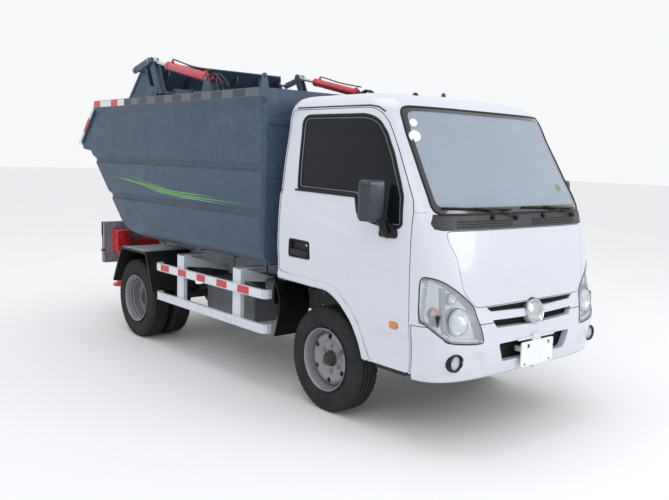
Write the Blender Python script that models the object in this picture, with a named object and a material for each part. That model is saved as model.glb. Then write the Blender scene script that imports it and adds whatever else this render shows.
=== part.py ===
"""Small cab-over garbage truck with a boat-shaped tipping hopper and a packing blade.

Metres, +Z up. The front is at -Y and the truck's right side is at -X.
The origin is on the ground, under the middle of the whole vehicle.
"""
import math

import bmesh
import bpy
from mathutils import Matrix, Vector

for leftover in list(bpy.data.objects):
    bpy.data.objects.remove(leftover, do_unlink=True)

# ---------------------------------------------------------------- driving dimensions
GAP = 0.0003            # between pieces that touch
CUT = 0.005             # width of a shut line
SIDES = (-1, 1)         # truck's right, truck's left

TYRE_R = 0.33
TYRE_SIDES = 32
RIM_SIDES = 32
FRONT_Y = -1.245        # front axle
REAR_Y = 1.209          # rear axle
FRONT_X = 0.688         # middle of a front tyre
FRONT_W = 0.165
TWIN_X = (0.545, 0.748) # middles of the inner and outer rear tyres
TWIN_W = 0.160
KINGPIN_X = 0.560

RAIL_X = 0.36           # middle of a frame rail
RAIL_W = 0.060
RAIL_Z = (0.535, 0.668)
RAIL_Y = (-2.02, 1.88)
SUB_TOP = 0.785         # top of the subframe that carries the hopper

# cab skin: height, half width, front face, rear face
CAB_LEVELS = (
    (0.395, 0.795, -2.222, -0.812),
    (0.420, 0.800, -2.228, -0.812),
    (0.550, 0.808, -2.245, -0.812),
    (0.660, 0.812, -2.236, -0.812),
    (0.780, 0.814, -2.205, -0.812),
    (1.000, 0.815, -2.165, -0.812),
    (1.205, 0.810, -2.116, -0.812),
    (1.293, 0.804, -2.090, -0.812),
    (1.500, 0.783, -1.978, -0.812),
    (1.700, 0.752, -1.868, -0.812),
    (1.890, 0.712, -1.762, -0.812),
    (1.930, 0.680, -1.705, -0.822),
    (1.957, 0.620, -1.620, -0.850),
    (1.972, 0.480, -1.480, -0.930),
)
CAB_POWER = 4.2         # how square the front corners are
CAB_CORNER = 0.35       # depth of the front corners
CAB_STEPS = 9            # points round each front corner
CAB_WALL = 0.045        # doors and body panels
ARCH = ((-0.70, 0.30), (-0.70, 0.792), (-1.31, 0.778), (-1.420, 0.722),
        (-1.530, 0.622), (-1.605, 0.490), (-1.650, 0.30))
ARCH_LIP = ((-0.70, 0.850), (-0.883, 0.836), (-1.120, 0.822), (-1.335, 0.820),
            (-1.464, 0.750), (-1.577, 0.648), (-1.652, 0.510), (-1.700, 0.425))
DOOR_FRONT = ((-1.992, 0.425), (-1.989, 0.705), (-1.974, 1.045), (-1.956, 1.304),
              (-1.938, 1.365), (-1.891, 1.447), (-1.792, 1.620), (-1.685, 1.790),
              (-1.640, 1.831), (-1.590, 1.856))
DOOR_TOP_Z = 1.868
DOOR_REAR_Y = -0.826
FOG_LAMP = (0.657, 0.505)
WINDOW = ((-0.949, 1.790), (-0.968, 1.818), (-0.995, 1.828), (-1.500, 1.825), (-1.560, 1.815),
          (-1.602, 1.801), (-1.638, 1.778), (-1.690, 1.721), (-1.767, 1.603), (-1.846, 1.449),
          (-1.880, 1.375), (-1.898, 1.228), (-1.880, 1.213), (-1.764, 1.213), (-1.610, 1.238),
          (-1.548, 1.268), (-1.519, 1.370), (-0.985, 1.382))
SCREEN = ((-0.700, 1.290), (0.700, 1.290), (0.660, 1.876), (-0.660, 1.876))
FRONT_LID = ((-0.641, 1.198), (0.641, 1.198), (0.637, 1.145), (0.598, 1.060), (0.576, 0.883),
             (0.500, 0.790), (-0.500, 0.790), (-0.576, 0.883), (-0.598, 1.060), (-0.637, 1.145))
HEADLIGHT = ((0.840, 0.945), (0.786, 0.945), (0.758, 0.957), (0.689, 0.929), (0.598, 0.868),
             (0.520, 0.797), (0.505, 0.747), (0.474, 0.622), (0.504, 0.597), (0.686, 0.615),
             (0.735, 0.646), (0.785, 0.708), (0.840, 0.740))
LAMP_REAR = -2.050
BUMPER_TOP = 0.700

# hopper side outline, from the front bottom corner towards the rear
HOPPER_X = 0.860
HOPPER_WALL = 0.010
HOPPER_FRONT = -0.680
HOPPER_FLOOR = 0.855
HOPPER_TOP = 2.013
HOPPER_SIDE = ((-0.680, 0.855), (1.020, 0.855), (1.160, 0.872), (1.290, 0.917),
               (1.403, 0.988), (2.080, 1.609), (2.240, 1.625), (2.255, 1.650),
               (1.893, 2.013), (-0.680, 2.013))
HOPPER_INSIDE = ((-0.670, 0.865), (1.018, 0.865), (1.156, 0.882), (1.284, 0.926),
                 (1.396, 0.996), (2.076, 1.619), (2.300, 1.640), (2.300, 2.060),
                 (-0.670, 2.060))
GROOVE_Z = (1.500, 1.195)
GROOVE_DEPTH = 0.021
GROOVE_H = 0.036        # half height of a pressed groove
RIM_OUT = 0.030
TIP_HINGE = (1.500, 0.830)
STEERING_WHEEL = (0.360, -1.610, 1.180)

# packing linkage, in the plane of the side (y, z)
LINK_X = 0.750
BLADE_PIVOT = (1.163, 1.990)
ROCKER_PIVOT = (0.908, 2.050)
CRANK = (0.122, 0.260)  # from each pivot to its link pin
CYLINDER_TAIL = (0.153, 2.121)
BLADE_TIP = (1.953, 1.649)
BLADE_X = 0.700

LIFT_TAIL = (-0.150, 0.520)
LIFT_EYE = (0.650, 0.800)
LEG_X = 0.665
LEG_Y = 1.830
LEG_FOOT_Z = 0.335


# ---------------------------------------------------------------- small tools
def material(name, rgb, roughness, metallic=0.0, alpha=1.0):
    made = bpy.data.materials.get(name)
    if made:
        return made
    made = bpy.data.materials.new(name)
    made.use_nodes = True
    shader = made.node_tree.nodes["Principled BSDF"]
    shader.inputs["Base Color"].default_value = (*rgb, 1.0)
    shader.inputs["Roughness"].default_value = roughness
    shader.inputs["Metallic"].default_value = metallic
    shader.inputs["Alpha"].default_value = alpha
    return made


def put(name, mesh):
    made = bpy.data.objects.new(name, mesh)
    bpy.context.collection.objects.link(made)
    return made


def from_rings(name, rings, closed=False):
    """Skin rings of equal length; the ends are capped unless the skin closes on itself."""
    work = bmesh.new()
    made = [[work.verts.new(point) for point in ring] for ring in rings]
    pairs = list(zip(made, made[1:]))
    if closed:
        pairs.append((made[-1], made[0]))
    for low, high in pairs:
        for i in range(len(low)):
            j = (i + 1) % len(low)
            work.faces.new((low[i], low[j], high[j], high[i]))
    if not closed:
        work.faces.new(list(reversed(made[0])))
        work.faces.new(made[-1])
    bmesh.ops.recalc_face_normals(work, faces=work.faces)
    mesh = bpy.data.meshes.new(name)
    work.to_mesh(mesh)
    work.free()
    return put(name, mesh)


def prism(name, outline, axis, low, high):
    """An outline extruded along x (y, z), y (x, z) or z (x, y)."""
    order = {"x": lambda a, b, t: (t, a, b),
             "y": lambda a, b, t: (a, t, b),
             "z": lambda a, b, t: (a, b, t)}[axis]
    return from_rings(name, [[order(a, b, t) for a, b in outline] for t in (low, high)])


def box(name, x, y, z):
    outline = ((x[0], y[0]), (x[1], y[0]), (x[1], y[1]), (x[0], y[1]))
    return prism(name, outline, "z", z[0], z[1])


def rod(name, start, end, radius, sides=16):
    """A round bar between two points."""
    start, end = Vector(start), Vector(end)
    turn = (end - start).to_track_quat("Z", "Y").to_matrix()
    circle = [turn @ Vector((radius * math.cos(2 * math.pi * i / sides),
                             radius * math.sin(2 * math.pi * i / sides), 0))
              for i in range(sides)]
    return from_rings(name, [[at + point for point in circle] for at in (start, end)])


def turned(name, profile, centre, sides=32):
    """A closed profile of (offset along x, radius) turned about the x axis."""
    rings = []
    for i in range(sides):
        angle = 2 * math.pi * (i + 0.5) / sides
        rings.append([(centre[0] + x, centre[1] + r * math.cos(angle),
                       centre[2] + r * math.sin(angle)) for x, r in profile])
    return from_rings(name, rings, closed=True)


def combine(base, operation, others):
    """Boolean the other objects into the base and remove them."""
    for other in others:
        step = base.modifiers.new("step", "BOOLEAN")
        step.operation = operation
        step.solver = "EXACT"
        step.object = other
    bpy.context.view_layer.update()
    evaluated = base.evaluated_get(bpy.context.evaluated_depsgraph_get())
    mesh = bpy.data.meshes.new_from_object(evaluated)
    base.modifiers.clear()
    base.data = mesh
    for other in others:
        bpy.data.objects.remove(other, do_unlink=True)
    return base


def join(base, others):
    return combine(base, "UNION", others)


def cut(base, others):
    return combine(base, "DIFFERENCE", others)


def keep(base, others):
    return combine(base, "INTERSECT", others)


def finish(made, name, paint):
    """Weld, flatten into few faces, name and colour one finished piece."""
    work = bmesh.new()
    work.from_mesh(made.data)
    bmesh.ops.remove_doubles(work, verts=work.verts, dist=0.00002)
    bmesh.ops.dissolve_degenerate(work, edges=work.edges, dist=0.00002)
    bmesh.ops.dissolve_limit(work, angle_limit=0.002, verts=work.verts, edges=work.edges)
    bmesh.ops.triangulate(work, faces=work.faces)
    bmesh.ops.recalc_face_normals(work, faces=work.faces)
    mesh = bpy.data.meshes.new(name)
    work.to_mesh(mesh)
    work.free()
    mesh.materials.clear()
    mesh.materials.append(paint)
    mesh.shade_smooth()
    mesh.set_sharp_from_angle(angle=math.radians(30))
    made.data = mesh
    made.name = name
    return made


def side_name(side):
    return "right" if side < 0 else "left"


def mirrored(points, side):
    return [(side * x, z) for x, z in points][::side]


def around(centre, radius, start, end, steps):
    """Points of an arc in a plane, in degrees."""
    return [(centre[0] + radius * math.cos(math.radians(start + (end - start) * i / steps)),
             centre[1] + radius * math.sin(math.radians(start + (end - start) * i / steps)))
            for i in range(steps + 1)]


def bar_outline(a, b, half):
    """A flat bar with round ends between two points of a plane."""
    angle = math.degrees(math.atan2(b[1] - a[1], b[0] - a[0]))
    return (around(b, half, angle - 90, angle + 90, 6) + around(a, half, angle + 90, angle + 270, 6))


WHITE = material("cab_white", (0.78, 0.79, 0.82), 0.25)
HULL = material("hopper_grey", (0.11, 0.15, 0.20), 0.45)
BLACK = material("black_plastic", (0.02, 0.02, 0.022), 0.6)
RUBBER = material("tyre_rubber", (0.02, 0.02, 0.02), 0.8)
STEEL = material("wheel_silver", (0.55, 0.56, 0.58), 0.35, 0.8)
FRAME = material("frame_grey", (0.38, 0.39, 0.41), 0.5)
DARK = material("running_gear_black", (0.03, 0.03, 0.03), 0.6)
RED = material("cylinder_red", (0.55, 0.02, 0.05), 0.35)
CHROME = material("rod_chrome", (0.6, 0.6, 0.6), 0.15, 1.0)
GLASS = material("tinted_glass", (0.05, 0.06, 0.06), 0.05, 0.0, 0.35)
LAMP = material("lamp_clear", (0.7, 0.7, 0.72), 0.1, 0.2)
CLOTH = material("seat_cloth", (0.08, 0.08, 0.09), 0.9)


# ---------------------------------------------------------------- wheels
def tyre(name, x, y, width):
    half = width / 2
    flat = 1 / math.cos(math.pi / TYRE_SIDES)   # the flats, not the corners, touch the ground
    profile = [(-0.80 * half, 0.199), (0.80 * half, 0.199), (half, 0.245 * flat),
               (0.95 * half, 0.300 * flat), (0.70 * half, TYRE_R * flat),
               (-0.70 * half, TYRE_R * flat), (-0.95 * half, 0.300 * flat), (-half, 0.245 * flat)]
    return finish(turned(name, profile, (x, y, TYRE_R), TYRE_SIDES), name, RUBBER)


def wheel_disc(x, y, outward, dish, width):
    """A steel wheel: flanged rim, a disc set in by its dish, and a hub in the middle."""
    half = width / 2
    rim = [(-half, 0.184), (-half, 0.197), (0, 0.190), (half, 0.197), (half, 0.184), (0, 0.172)]
    made = turned("rim", rim, (x, y, TYRE_R), RIM_SIDES)
    face = x + outward * dish
    disc = rod("disc", (face - 0.010, y, TYRE_R), (face + 0.010, y, TYRE_R), 0.1865, RIM_SIDES)
    return join(made, [disc]), face


def front_wheel(side):
    name = side_name(side)
    x = side * FRONT_X
    tyre(f"front_tyre_{name}", x, FRONT_Y, FRONT_W)
    made, face = wheel_disc(x, FRONT_Y, side, 0.020, FRONT_W - 0.004)
    hub = rod("hub", (face - side * 0.060, FRONT_Y, TYRE_R),
              (face + side * 0.048, FRONT_Y, TYRE_R), 0.060, 24)
    made = join(made, [hub])
    holes = []
    for i in range(6):
        angle = math.radians(60 * i + 30)
        at = (FRONT_Y + 0.130 * math.cos(angle), TYRE_R + 0.130 * math.sin(angle))
        holes.append(rod("hole", (face - 0.03, *at), (face + 0.03, *at), 0.018, 8))
    finish(cut(made, holes), f"front_wheel_{name}", STEEL)


def rear_wheels(side):
    name = side_name(side)
    inner, outer = side * TWIN_X[0], side * TWIN_X[1]
    tyre(f"rear_tyre_inner_{name}", inner, REAR_Y, TWIN_W)
    tyre(f"rear_tyre_outer_{name}", outer, REAR_Y, TWIN_W)
    width = TWIN_W - 0.004
    made, face = wheel_disc(outer, REAR_Y, -side, width / 2 - 0.020, width)
    second, second_face = wheel_disc(inner, REAR_Y, side, width / 2 - 0.020, width)
    hub = rod("hub", (second_face - side * 0.02, REAR_Y, TYRE_R),
              (face + side * 0.055, REAR_Y, TYRE_R), 0.075, 24)
    finish(join(made, [second, hub]), f"rear_wheels_{name}", STEEL)


# ---------------------------------------------------------------- chassis
def chassis():
    """Ladder frame with the subframe under the hopper, its tipping ears and the tank."""
    parts = []
    low, high = RAIL_Z
    for side in SIDES:
        x = side * RAIL_X
        inner, outer = sorted((x - RAIL_W / 2, x + RAIL_W / 2))
        made = box("rail", (inner, outer), RAIL_Y, (low, high))
        web = 0.008
        pocket = ((inner - 0.01, outer - web) if side > 0 else (inner + web, outer + 0.01))
        made = cut(made, [box("pocket", pocket, (RAIL_Y[0] - 1, RAIL_Y[1] + 1),
                              (low + web, high - web))])
        sub = box("sub", (x - 0.022, x + 0.022), (-0.62, 1.60), (high - 0.004, SUB_TOP))
        ear = prism("ear", bar_outline((TIP_HINGE[0], 0.70), TIP_HINGE, 0.045), "x",
                    x - 0.020, x + 0.020)
        parts += [made, sub, ear]
    for y, z in ((-1.95, 0.60), (-0.75, 0.60), (-0.18, 0.60), (0.55, 0.60), (1.78, 0.60)):
        parts.append(box("cross", (-0.385, 0.385), (y - 0.030, y + 0.030), (z - 0.050, z + 0.050)))
    for y in (-0.58, 0.92, 1.25):
        parts.append(box("cross", (-RAIL_X, RAIL_X), (y - 0.025, y + 0.025), (0.690, 0.760)))
    for side in SIDES:
        parts.append(prism("tail_ear", bar_outline((-0.17, 0.60), LIFT_TAIL, 0.035), "x",
                           side * 0.062 - 0.008, side * 0.062 + 0.008))
    made = join(parts[0], parts[1:])
    eyes = [rod("eye", (-0.1, *LIFT_TAIL), (0.1, *LIFT_TAIL), 0.0125, 16),
            rod("eye", (-0.5, *TIP_HINGE), (0.5, *TIP_HINGE), 0.0125, 16)]
    finish(cut(made, eyes), "chassis_frame", FRAME)
    tank = prism("tank", ((-0.62, 0.380), (-0.60, 0.360), (-0.43, 0.360), (-0.41, 0.380),
                          (-0.41, 0.600), (-0.43, 0.620), (-0.60, 0.620), (-0.62, 0.600)),
                 "y", -0.27, 0.38)
    finish(tank, "fuel_tank", FRAME)
    box_on_left = box("battery", (0.41, 0.63), (-0.27, 0.15), (0.38, 0.62))
    finish(box_on_left, "battery_box", DARK)
    finish(box("engine", (-0.24, 0.24), (-1.78, -1.02), (0.40, 0.690)), "engine_block", DARK)


def front_axle():
    """Beam axle with its leaf springs; the knuckles turn on its king pins."""
    y, z = FRONT_Y, TYRE_R
    made = box("beam", (-0.500, 0.500), (y - 0.035, y + 0.035), (z - 0.055, z + 0.015))
    parts = []
    for side in SIDES:
        a, b = sorted((side * 0.470, side * (KINGPIN_X + 0.015)))
        parts.append(box("end", (a, b), (y - 0.026, y + 0.026), (z - 0.033, z + 0.033)))
        x = side * RAIL_X
        leaf = [(y + t * 0.52, z + 0.075 + 0.12 * t * t) for t in (-1, -0.5, 0, 0.5, 1)]
        under = [(a, b - 0.030) for a, b in reversed(leaf)]
        parts.append(prism("spring", leaf + under, "x", x - 0.030, x + 0.030))
        parts.append(box("seat", (x - 0.040, x + 0.040), (y - 0.050, y + 0.050), (z - 0.02, z + 0.06)))
    finish(join(made, parts), "front_axle", DARK)
    for side in SIDES:
        x = side * KINGPIN_X
        made = prism("fork", ((0.0, z - 0.075), (0.050, z - 0.075), (0.050, z + 0.075),
                              (0.0, z + 0.075)), "y", y - 0.032, y + 0.032)
        made.data.transform(Matrix.Translation((x + (0.0355 if side > 0 else -0.0855), 0, 0)))
        arms = [box("arm", sorted((x - side * 0.030, x + side * 0.060)), (y - 0.030, y + 0.030), level)
                for level in ((z + 0.037, z + 0.070), (z - 0.070, z - 0.037))]
        inner = FRONT_X + 0.020 - 0.060
        spindle = rod("spindle", (x + side * 0.060, y, z), (side * (inner - GAP), y, z), 0.050, 24)
        arm = box("steering_arm", sorted((x + side * 0.020, x + side * 0.055)),
                  (y + 0.020, y + 0.150), (z - 0.066, z - 0.045))
        finish(join(made, arms + [spindle, arm]), f"knuckle_{side_name(side)}", DARK)


def rear_axle():
    y, z = REAR_Y, TYRE_R
    inner_face = TWIN_X[0] + TWIN_W / 2 - 0.022
    made = rod("tube", (-inner_face + 0.021 + GAP, y, z), (inner_face - 0.021 - GAP, y, z), 0.050, 20)
    bulge = turned("bulge", ((-0.11, 0.0301), (-0.11, 0.09), (-0.06, 0.145), (0.06, 0.145),
                             (0.11, 0.09), (0.11, 0.0301)), (0, y, z), 24)
    parts = [bulge]
    for side in SIDES:
        x = side * 0.36
        leaf = [(y + t * 0.55, z + 0.090 + 0.105 * t * t) for t in (-1, -0.5, 0, 0.5, 1)]
        under = [(a, b - 0.045) for a, b in reversed(leaf)]
        parts.append(prism("spring", leaf + under, "x", x - 0.030, x + 0.030))
    finish(join(made, parts), "rear_axle", DARK)
    finish(rod("shaft", (0, y - 0.150, z + 0.01), (0, -1.015, 0.47), 0.033, 16), "drive_shaft", DARK)


def side_guard(side):
    """Two bars and two posts; the bar ends turn in towards the frame."""
    bars = []
    for low, high in ((0.628, 0.686), (0.392, 0.450)):
        front, rear = -0.700, 0.825
        curl = ((0.780, 0.000), (0.812, 0.002), (0.833, 0.016), (0.842, 0.045))
        inner = ((0.812, 0.050), (0.805, 0.034), (0.780, 0.030))
        line = [(side * x, front + d) for x, d in curl] + [(side * x, rear - d) for x, d in curl[::-1]]
        line += [(side * x, rear - d) for x, d in inner[::-1]] + [(side * x, front + d) for x, d in inner]
        bars.append(prism("bar", line, "z", low, high))
    parts = bars[1:]
    for y in (0.460, -0.330):
        parts.append(box("post", sorted((side * 0.785, side * 0.816)), (y - 0.050, y + 0.050),
                         (0.400, 0.790)))
        arm = prism("arm", ((0.395, 0.640), (0.600, 0.700), (0.790, 0.780), (0.800, 0.720),
                            (0.620, 0.640), (0.395, 0.575)), "y", y - 0.030, y + 0.030)
        arm.data.transform(Matrix.Scale(side, 4, (1, 0, 0)))
        arm.data.flip_normals() if side < 0 else None
        parts.append(arm)
    finish(join(bars[0], parts), f"side_guard_{side_name(side)}", WHITE)


def rear_mudguard(side):
    over = ((0.850, 0.440), (0.962, 0.740), (0.990, 0.752), (1.400, 0.752),
            (1.430, 0.745), (1.590, 0.440), (1.575, 0.430), (1.415, 0.725), (1.395, 0.735),
            (1.000, 0.735), (0.978, 0.725), (0.866, 0.440))
    made = prism("guard", over, "x", *sorted((side * 0.450, side * 0.850)))
    stay = box("stay", sorted((side * 0.3915, side * 0.470)), (1.17, 1.25), (0.700, 0.745))
    finish(join(made, [stay]), f"rear_mudguard_{side_name(side)}", BLACK)


def rear_end():
    """Tail panel with its lamp band, and the beam that carries the two stabiliser legs."""
    panel = box("panel", (-0.800, 0.800), (1.925, 1.945), (0.550, 0.925))
    stays = [box("stay", sorted((side * 0.33, side * 0.39)), (RAIL_Y[1] + GAP, 1.93), (0.56, 0.66))
             for side in SIDES]
    finish(join(panel, stays), "rear_panel", FRAME)
    beam = box("beam", (-LEG_X, LEG_X), (LEG_Y - 0.045, LEG_Y + 0.045), (RAIL_Z[1] + GAP, 0.765))
    parts = []
    for side in SIDES:
        x = side * LEG_X
        parts.append(box("housing", (x - 0.060, x + 0.060), (LEG_Y - 0.060, LEG_Y + 0.060),
                         (0.660, 0.850)))
    made = join(beam, parts)
    sleeves = [rod("sleeve", (side * LEG_X, LEG_Y, 0.60), (side * LEG_X, LEG_Y, 0.835), 0.043, 20)
               for side in SIDES]
    finish(cut(made, sleeves), "leg_beam", RED)
    for side in SIDES:
        x = side * LEG_X
        tube = rod("tube", (x, LEG_Y, LEG_FOOT_Z + 0.01), (x, LEG_Y, 0.820), 0.036, 20)
        foot = rod("foot", (x, LEG_Y, LEG_FOOT_Z), (x, LEG_Y, LEG_FOOT_Z + 0.020), 0.075, 20)
        finish(join(tube, [foot]), f"stabiliser_leg_{side_name(side)}", RED)


# ---------------------------------------------------------------- cab
def cab_ring(level, inset, rear_inset):
    """The cab's outline at one height, seen from above, pushed in by the insets."""
    z, half, front, rear = level
    half, front, rear = half - inset, front + inset, rear - rear_inset
    depth = CAB_CORNER - inset * 0.5
    points = [(half, rear, z)]
    steps = CAB_STEPS
    for i in range(steps + 1):
        angle = math.pi / 2 * i / steps
        x = half * math.cos(angle) ** (2 / CAB_POWER)
        y = front + depth - depth * math.sin(angle) ** (2 / CAB_POWER)
        points.append((x, y, z))
    points[-1] = (0.0, front, z)
    other = [(-x, y, z) for x, y, z in points[-2::-1]]
    return points + other


def cab_solid(name, inset, rear_inset=None):
    rear_inset = inset if rear_inset is None else rear_inset
    levels = [list(level) for level in CAB_LEVELS]
    levels[0][0] -= 0 if inset == 0 else 0.05
    for level in levels[-4:]:
        level[0] -= inset * 0.9
    return from_rings(name, [cab_ring(level, inset, rear_inset) for level in levels])


def cab_layer(name, outside, inside):
    return cut(cab_solid(name, outside), [cab_solid("inside", inside)])


def grown(points, amount):
    """Points of a closed outline pushed out (or in) along their mitred normals."""
    area = sum(a[0] * b[1] - b[0] * a[1] for a, b in zip(points, points[1:] + points[:1]))
    turn = 1 if area > 0 else -1
    made = []
    for i, point in enumerate(points):
        before = Vector(point) - Vector(points[i - 1])
        after = Vector(points[(i + 1) % len(points)]) - Vector(point)
        n1 = Vector((before.y, -before.x)).normalized() * turn
        n2 = Vector((after.y, -after.x)).normalized() * turn
        mitre = (n1 + n2).normalized()
        made.append(tuple(Vector(point) + mitre * (amount / max(0.4, mitre.dot(n1)))))
    return made


def door_outline():
    lower = [point for point in ARCH_LIP if point[0] < DOOR_REAR_Y]
    return ([(DOOR_REAR_Y, 0.848)] + lower + list(DOOR_FRONT)
            + [(-1.529, DOOR_TOP_Z), (DOOR_REAR_Y, DOOR_TOP_Z)])


def cab():
    outline = door_outline()
    body = cab_layer("body", 0.0, CAB_WALL)
    floor = prism("floor", ((-0.83, 0.800), (-0.83, 0.850), (-1.64, 0.850), (-1.72, 0.760),
                            (-2.19, 0.760), (-2.19, 0.700), (-1.70, 0.700), (-1.60, 0.800)),
                  "x", -0.80, 0.80)
    body = join(body, [keep(floor, [cab_solid("trim", 0.015)])])
    cuts = [prism("arch", ARCH, "x", -1, 1),
            box("below", (-1, 1), (-2.4, -1.5), (0.30, 0.424)),
            box("bumper_space", (-1, 1), (-2.4, -2.0), (0.30, BUMPER_TOP)),
            prism("screen", grown(list(SCREEN), 0.0), "y", -2.4, -1.5),
            prism("lid", grown(list(FRONT_LID), CUT), "y", -2.4, -2.02),
            box("rear_window", (-0.45, 0.45), (-0.9, -0.7), (1.40, 1.74))]
    for side in SIDES:
        cuts.append(prism("door", grown(outline, CUT), "x", *sorted((side * 0.40, side * 1.0))))
        cuts.append(prism("lamp", mirrored(grown(list(HEADLIGHT), 0.002), side), "y", -2.4, LAMP_REAR))
        cuts.append(box("step", sorted((side * 0.55, side * 1.0)), (-1.99, -1.71), (0.30, 0.699)))
    body = cut(body, cuts)
    finish(body, "cab_shell", WHITE)

    for side in SIDES:
        name = side_name(side)
        door = cut(cab_solid("door", 0.0), [cab_solid("inside", CAB_WALL - 0.002, -0.05)])
        door = keep(door, [prism("shape", outline, "x", *sorted((side * 0.45, side * 1.0)))])
        door = cut(door, [prism("window", list(WINDOW), "x", *sorted((side * 0.4, side * 1.0)))])
        finish(door, f"door_{name}", WHITE)
        pane = cab_layer("pane", 0.016, 0.021)
        pane = keep(pane, [prism("shape", grown(list(WINDOW), -GAP), "x",
                                 *sorted((side * 0.4, side * 1.0)))])
        finish(pane, f"door_glass_{name}", GLASS)
        mirror(side)
        lamp = cab_layer("lamp", 0.0, 0.030)
        lamp = keep(lamp, [prism("shape", mirrored(list(HEADLIGHT), side), "y", -2.4, LAMP_REAR - GAP)])
        finish(lamp, f"headlight_{name}", LAMP)

    screen = cab_layer("screen", 0.004, 0.010)
    screen = keep(screen, [prism("shape", grown(list(SCREEN), -GAP), "y", -2.4, -1.5)])
    finish(screen, "windshield", GLASS)
    lid = cab_layer("lid", 0.0, 0.018)
    lid = keep(lid, [prism("shape", list(FRONT_LID), "y", -2.4, -2.03)])
    finish(lid, "front_lid", WHITE)
    glass = box("glass", (-0.45 + GAP, 0.45 - GAP), (-0.838, -0.832), (1.40 + GAP, 1.74 - GAP))
    finish(glass, "rear_window", GLASS)
    bumper()
    inside()


def bumper():
    made = cab_layer("bumper", 0.0, 0.040)
    space = box("space", (-1, 1), (-2.4, -2.0 - CUT * 2), (0.393, BUMPER_TOP - CUT))
    made = keep(made, [space])
    cuts = [box("intake", (-0.300, 0.300), (-2.4, -2.1), (0.475, 0.572))]
    for side in SIDES:
        cuts.append(prism("lamp", mirrored(grown(list(HEADLIGHT), 0.002), side), "y", -2.4, LAMP_REAR))
        x, z = side * FOG_LAMP[0], FOG_LAMP[1]
        cuts.append(rod("fog", (x, -2.4, z), (x, -2.0, z), 0.050, 20))
    made = cut(made, cuts)
    mesh = box("mesh", (-0.42, 0.42), (-2.198, -2.180), (0.40, 0.66))
    fogs = [rod("fog", (side * FOG_LAMP[0], -2.165, FOG_LAMP[1]),
                (side * FOG_LAMP[0], -2.09, FOG_LAMP[1]), 0.056, 20) for side in SIDES]
    stays = [box("stay", sorted((side * 0.335, side * 0.385)), (-2.19, RAIL_Y[0] - GAP), (0.55, 0.65))
             for side in SIDES]
    finish(join(made, [mesh] + fogs + stays), "bumper", WHITE)


def inside():
    """Dashboard, steering wheel on its column, and a three-place bench."""
    dash = prism("dash", ((-2.060, 1.215), (-1.900, 1.250), (-1.740, 1.220), (-1.700, 1.120),
                          (-1.760, 0.980), (-1.960, 0.900), (-2.060, 0.900)), "x", -0.700, 0.700)
    trim = cab_solid("trim", CAB_WALL + 0.004)
    centre = Vector(STEERING_WHEEL)
    tilt = Vector((0, 0.902, 0.431))
    column = rod("column", centre - tilt * 0.26, centre - tilt * (0.030 + GAP), 0.030, 16)
    finish(join(keep(dash, [trim]), [column]), "dashboard", BLACK)
    wheel = turned("wheel", [(0.014 * math.cos(a), 0.185 + 0.014 * math.sin(a))
                             for a in (math.tau * i / 8 for i in range(8))], (0, 0, 0), 28)
    hub = rod("hub", (-0.030, 0, 0), (0.020, 0, 0), 0.055, 16)
    spokes = [box("spoke", (-0.010, 0.010), (-0.184, 0.184), (-0.018, 0.018)),
              box("spoke", (-0.010, 0.010), (-0.018, 0.018), (-0.184, 0.0))]
    made = join(wheel, [hub] + spokes)
    aim = tilt.to_track_quat("X", "Z").to_matrix().to_4x4()
    made.data.transform(Matrix.Translation(STEERING_WHEEL) @ aim)
    finish(made, "steering_wheel", BLACK)
    seat = prism("seat", ((-1.380, 0.856), (-1.420, 0.950), (-1.380, 0.990), (-1.040, 0.985),
                          (-0.955, 1.360), (-0.930, 1.560), (-0.880, 1.565), (-0.872, 1.360),
                          (-0.900, 0.856)), "x", -0.66, 0.66)
    finish(seat, "bench_seat", CLOTH)


def mirror(side):
    x0, x1 = 0.828, 0.992
    outline = ((x0, -1.770), (x0 + 0.020, -1.815), (x1 - 0.030, -1.800), (x1, -1.760),
               (x1 - 0.010, -1.735), (x0 + 0.005, -1.735))
    made = prism("mirror", outline, "z", 1.240, 1.465)
    arm = prism("arm", ((0.8135, 1.148), (0.8135, 1.215), (0.845, 1.290), (0.890, 1.290),
                        (0.872, 1.205), (0.842, 1.148)), "y", -1.855, -1.770)
    made = join(made, [arm])
    if side < 0:
        made.data.transform(Matrix.Scale(-1, 4, (1, 0, 0)))
        made.data.flip_normals()
    finish(made, f"mirror_{side_name(side)}", BLACK)


# ---------------------------------------------------------------- hopper
def hopper_section(inset):
    """Half of the cross-section, from the top of the wall to the middle of the floor."""
    x = HOPPER_X - inset
    points = [(x, HOPPER_TOP + (0.05 if inset else 0))]
    for z in GROOVE_Z:
        points += [(x, z + GROOVE_H), (x - GROOVE_DEPTH, z), (x, z - GROOVE_H)]
    radius = 0.125 - inset
    centre = (x - radius, HOPPER_FLOOR + inset + radius)
    points += around(centre, radius, 0, -90, 5)
    return points


def hopper_solid(name, inset, outline, low, high):
    half = hopper_section(inset)
    section = half + [(-x, z) for x, z in reversed(half)]
    made = prism(name, section, "y", low, high)
    return keep(made, [prism("side", list(outline), "x", -1, 1)])


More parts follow.
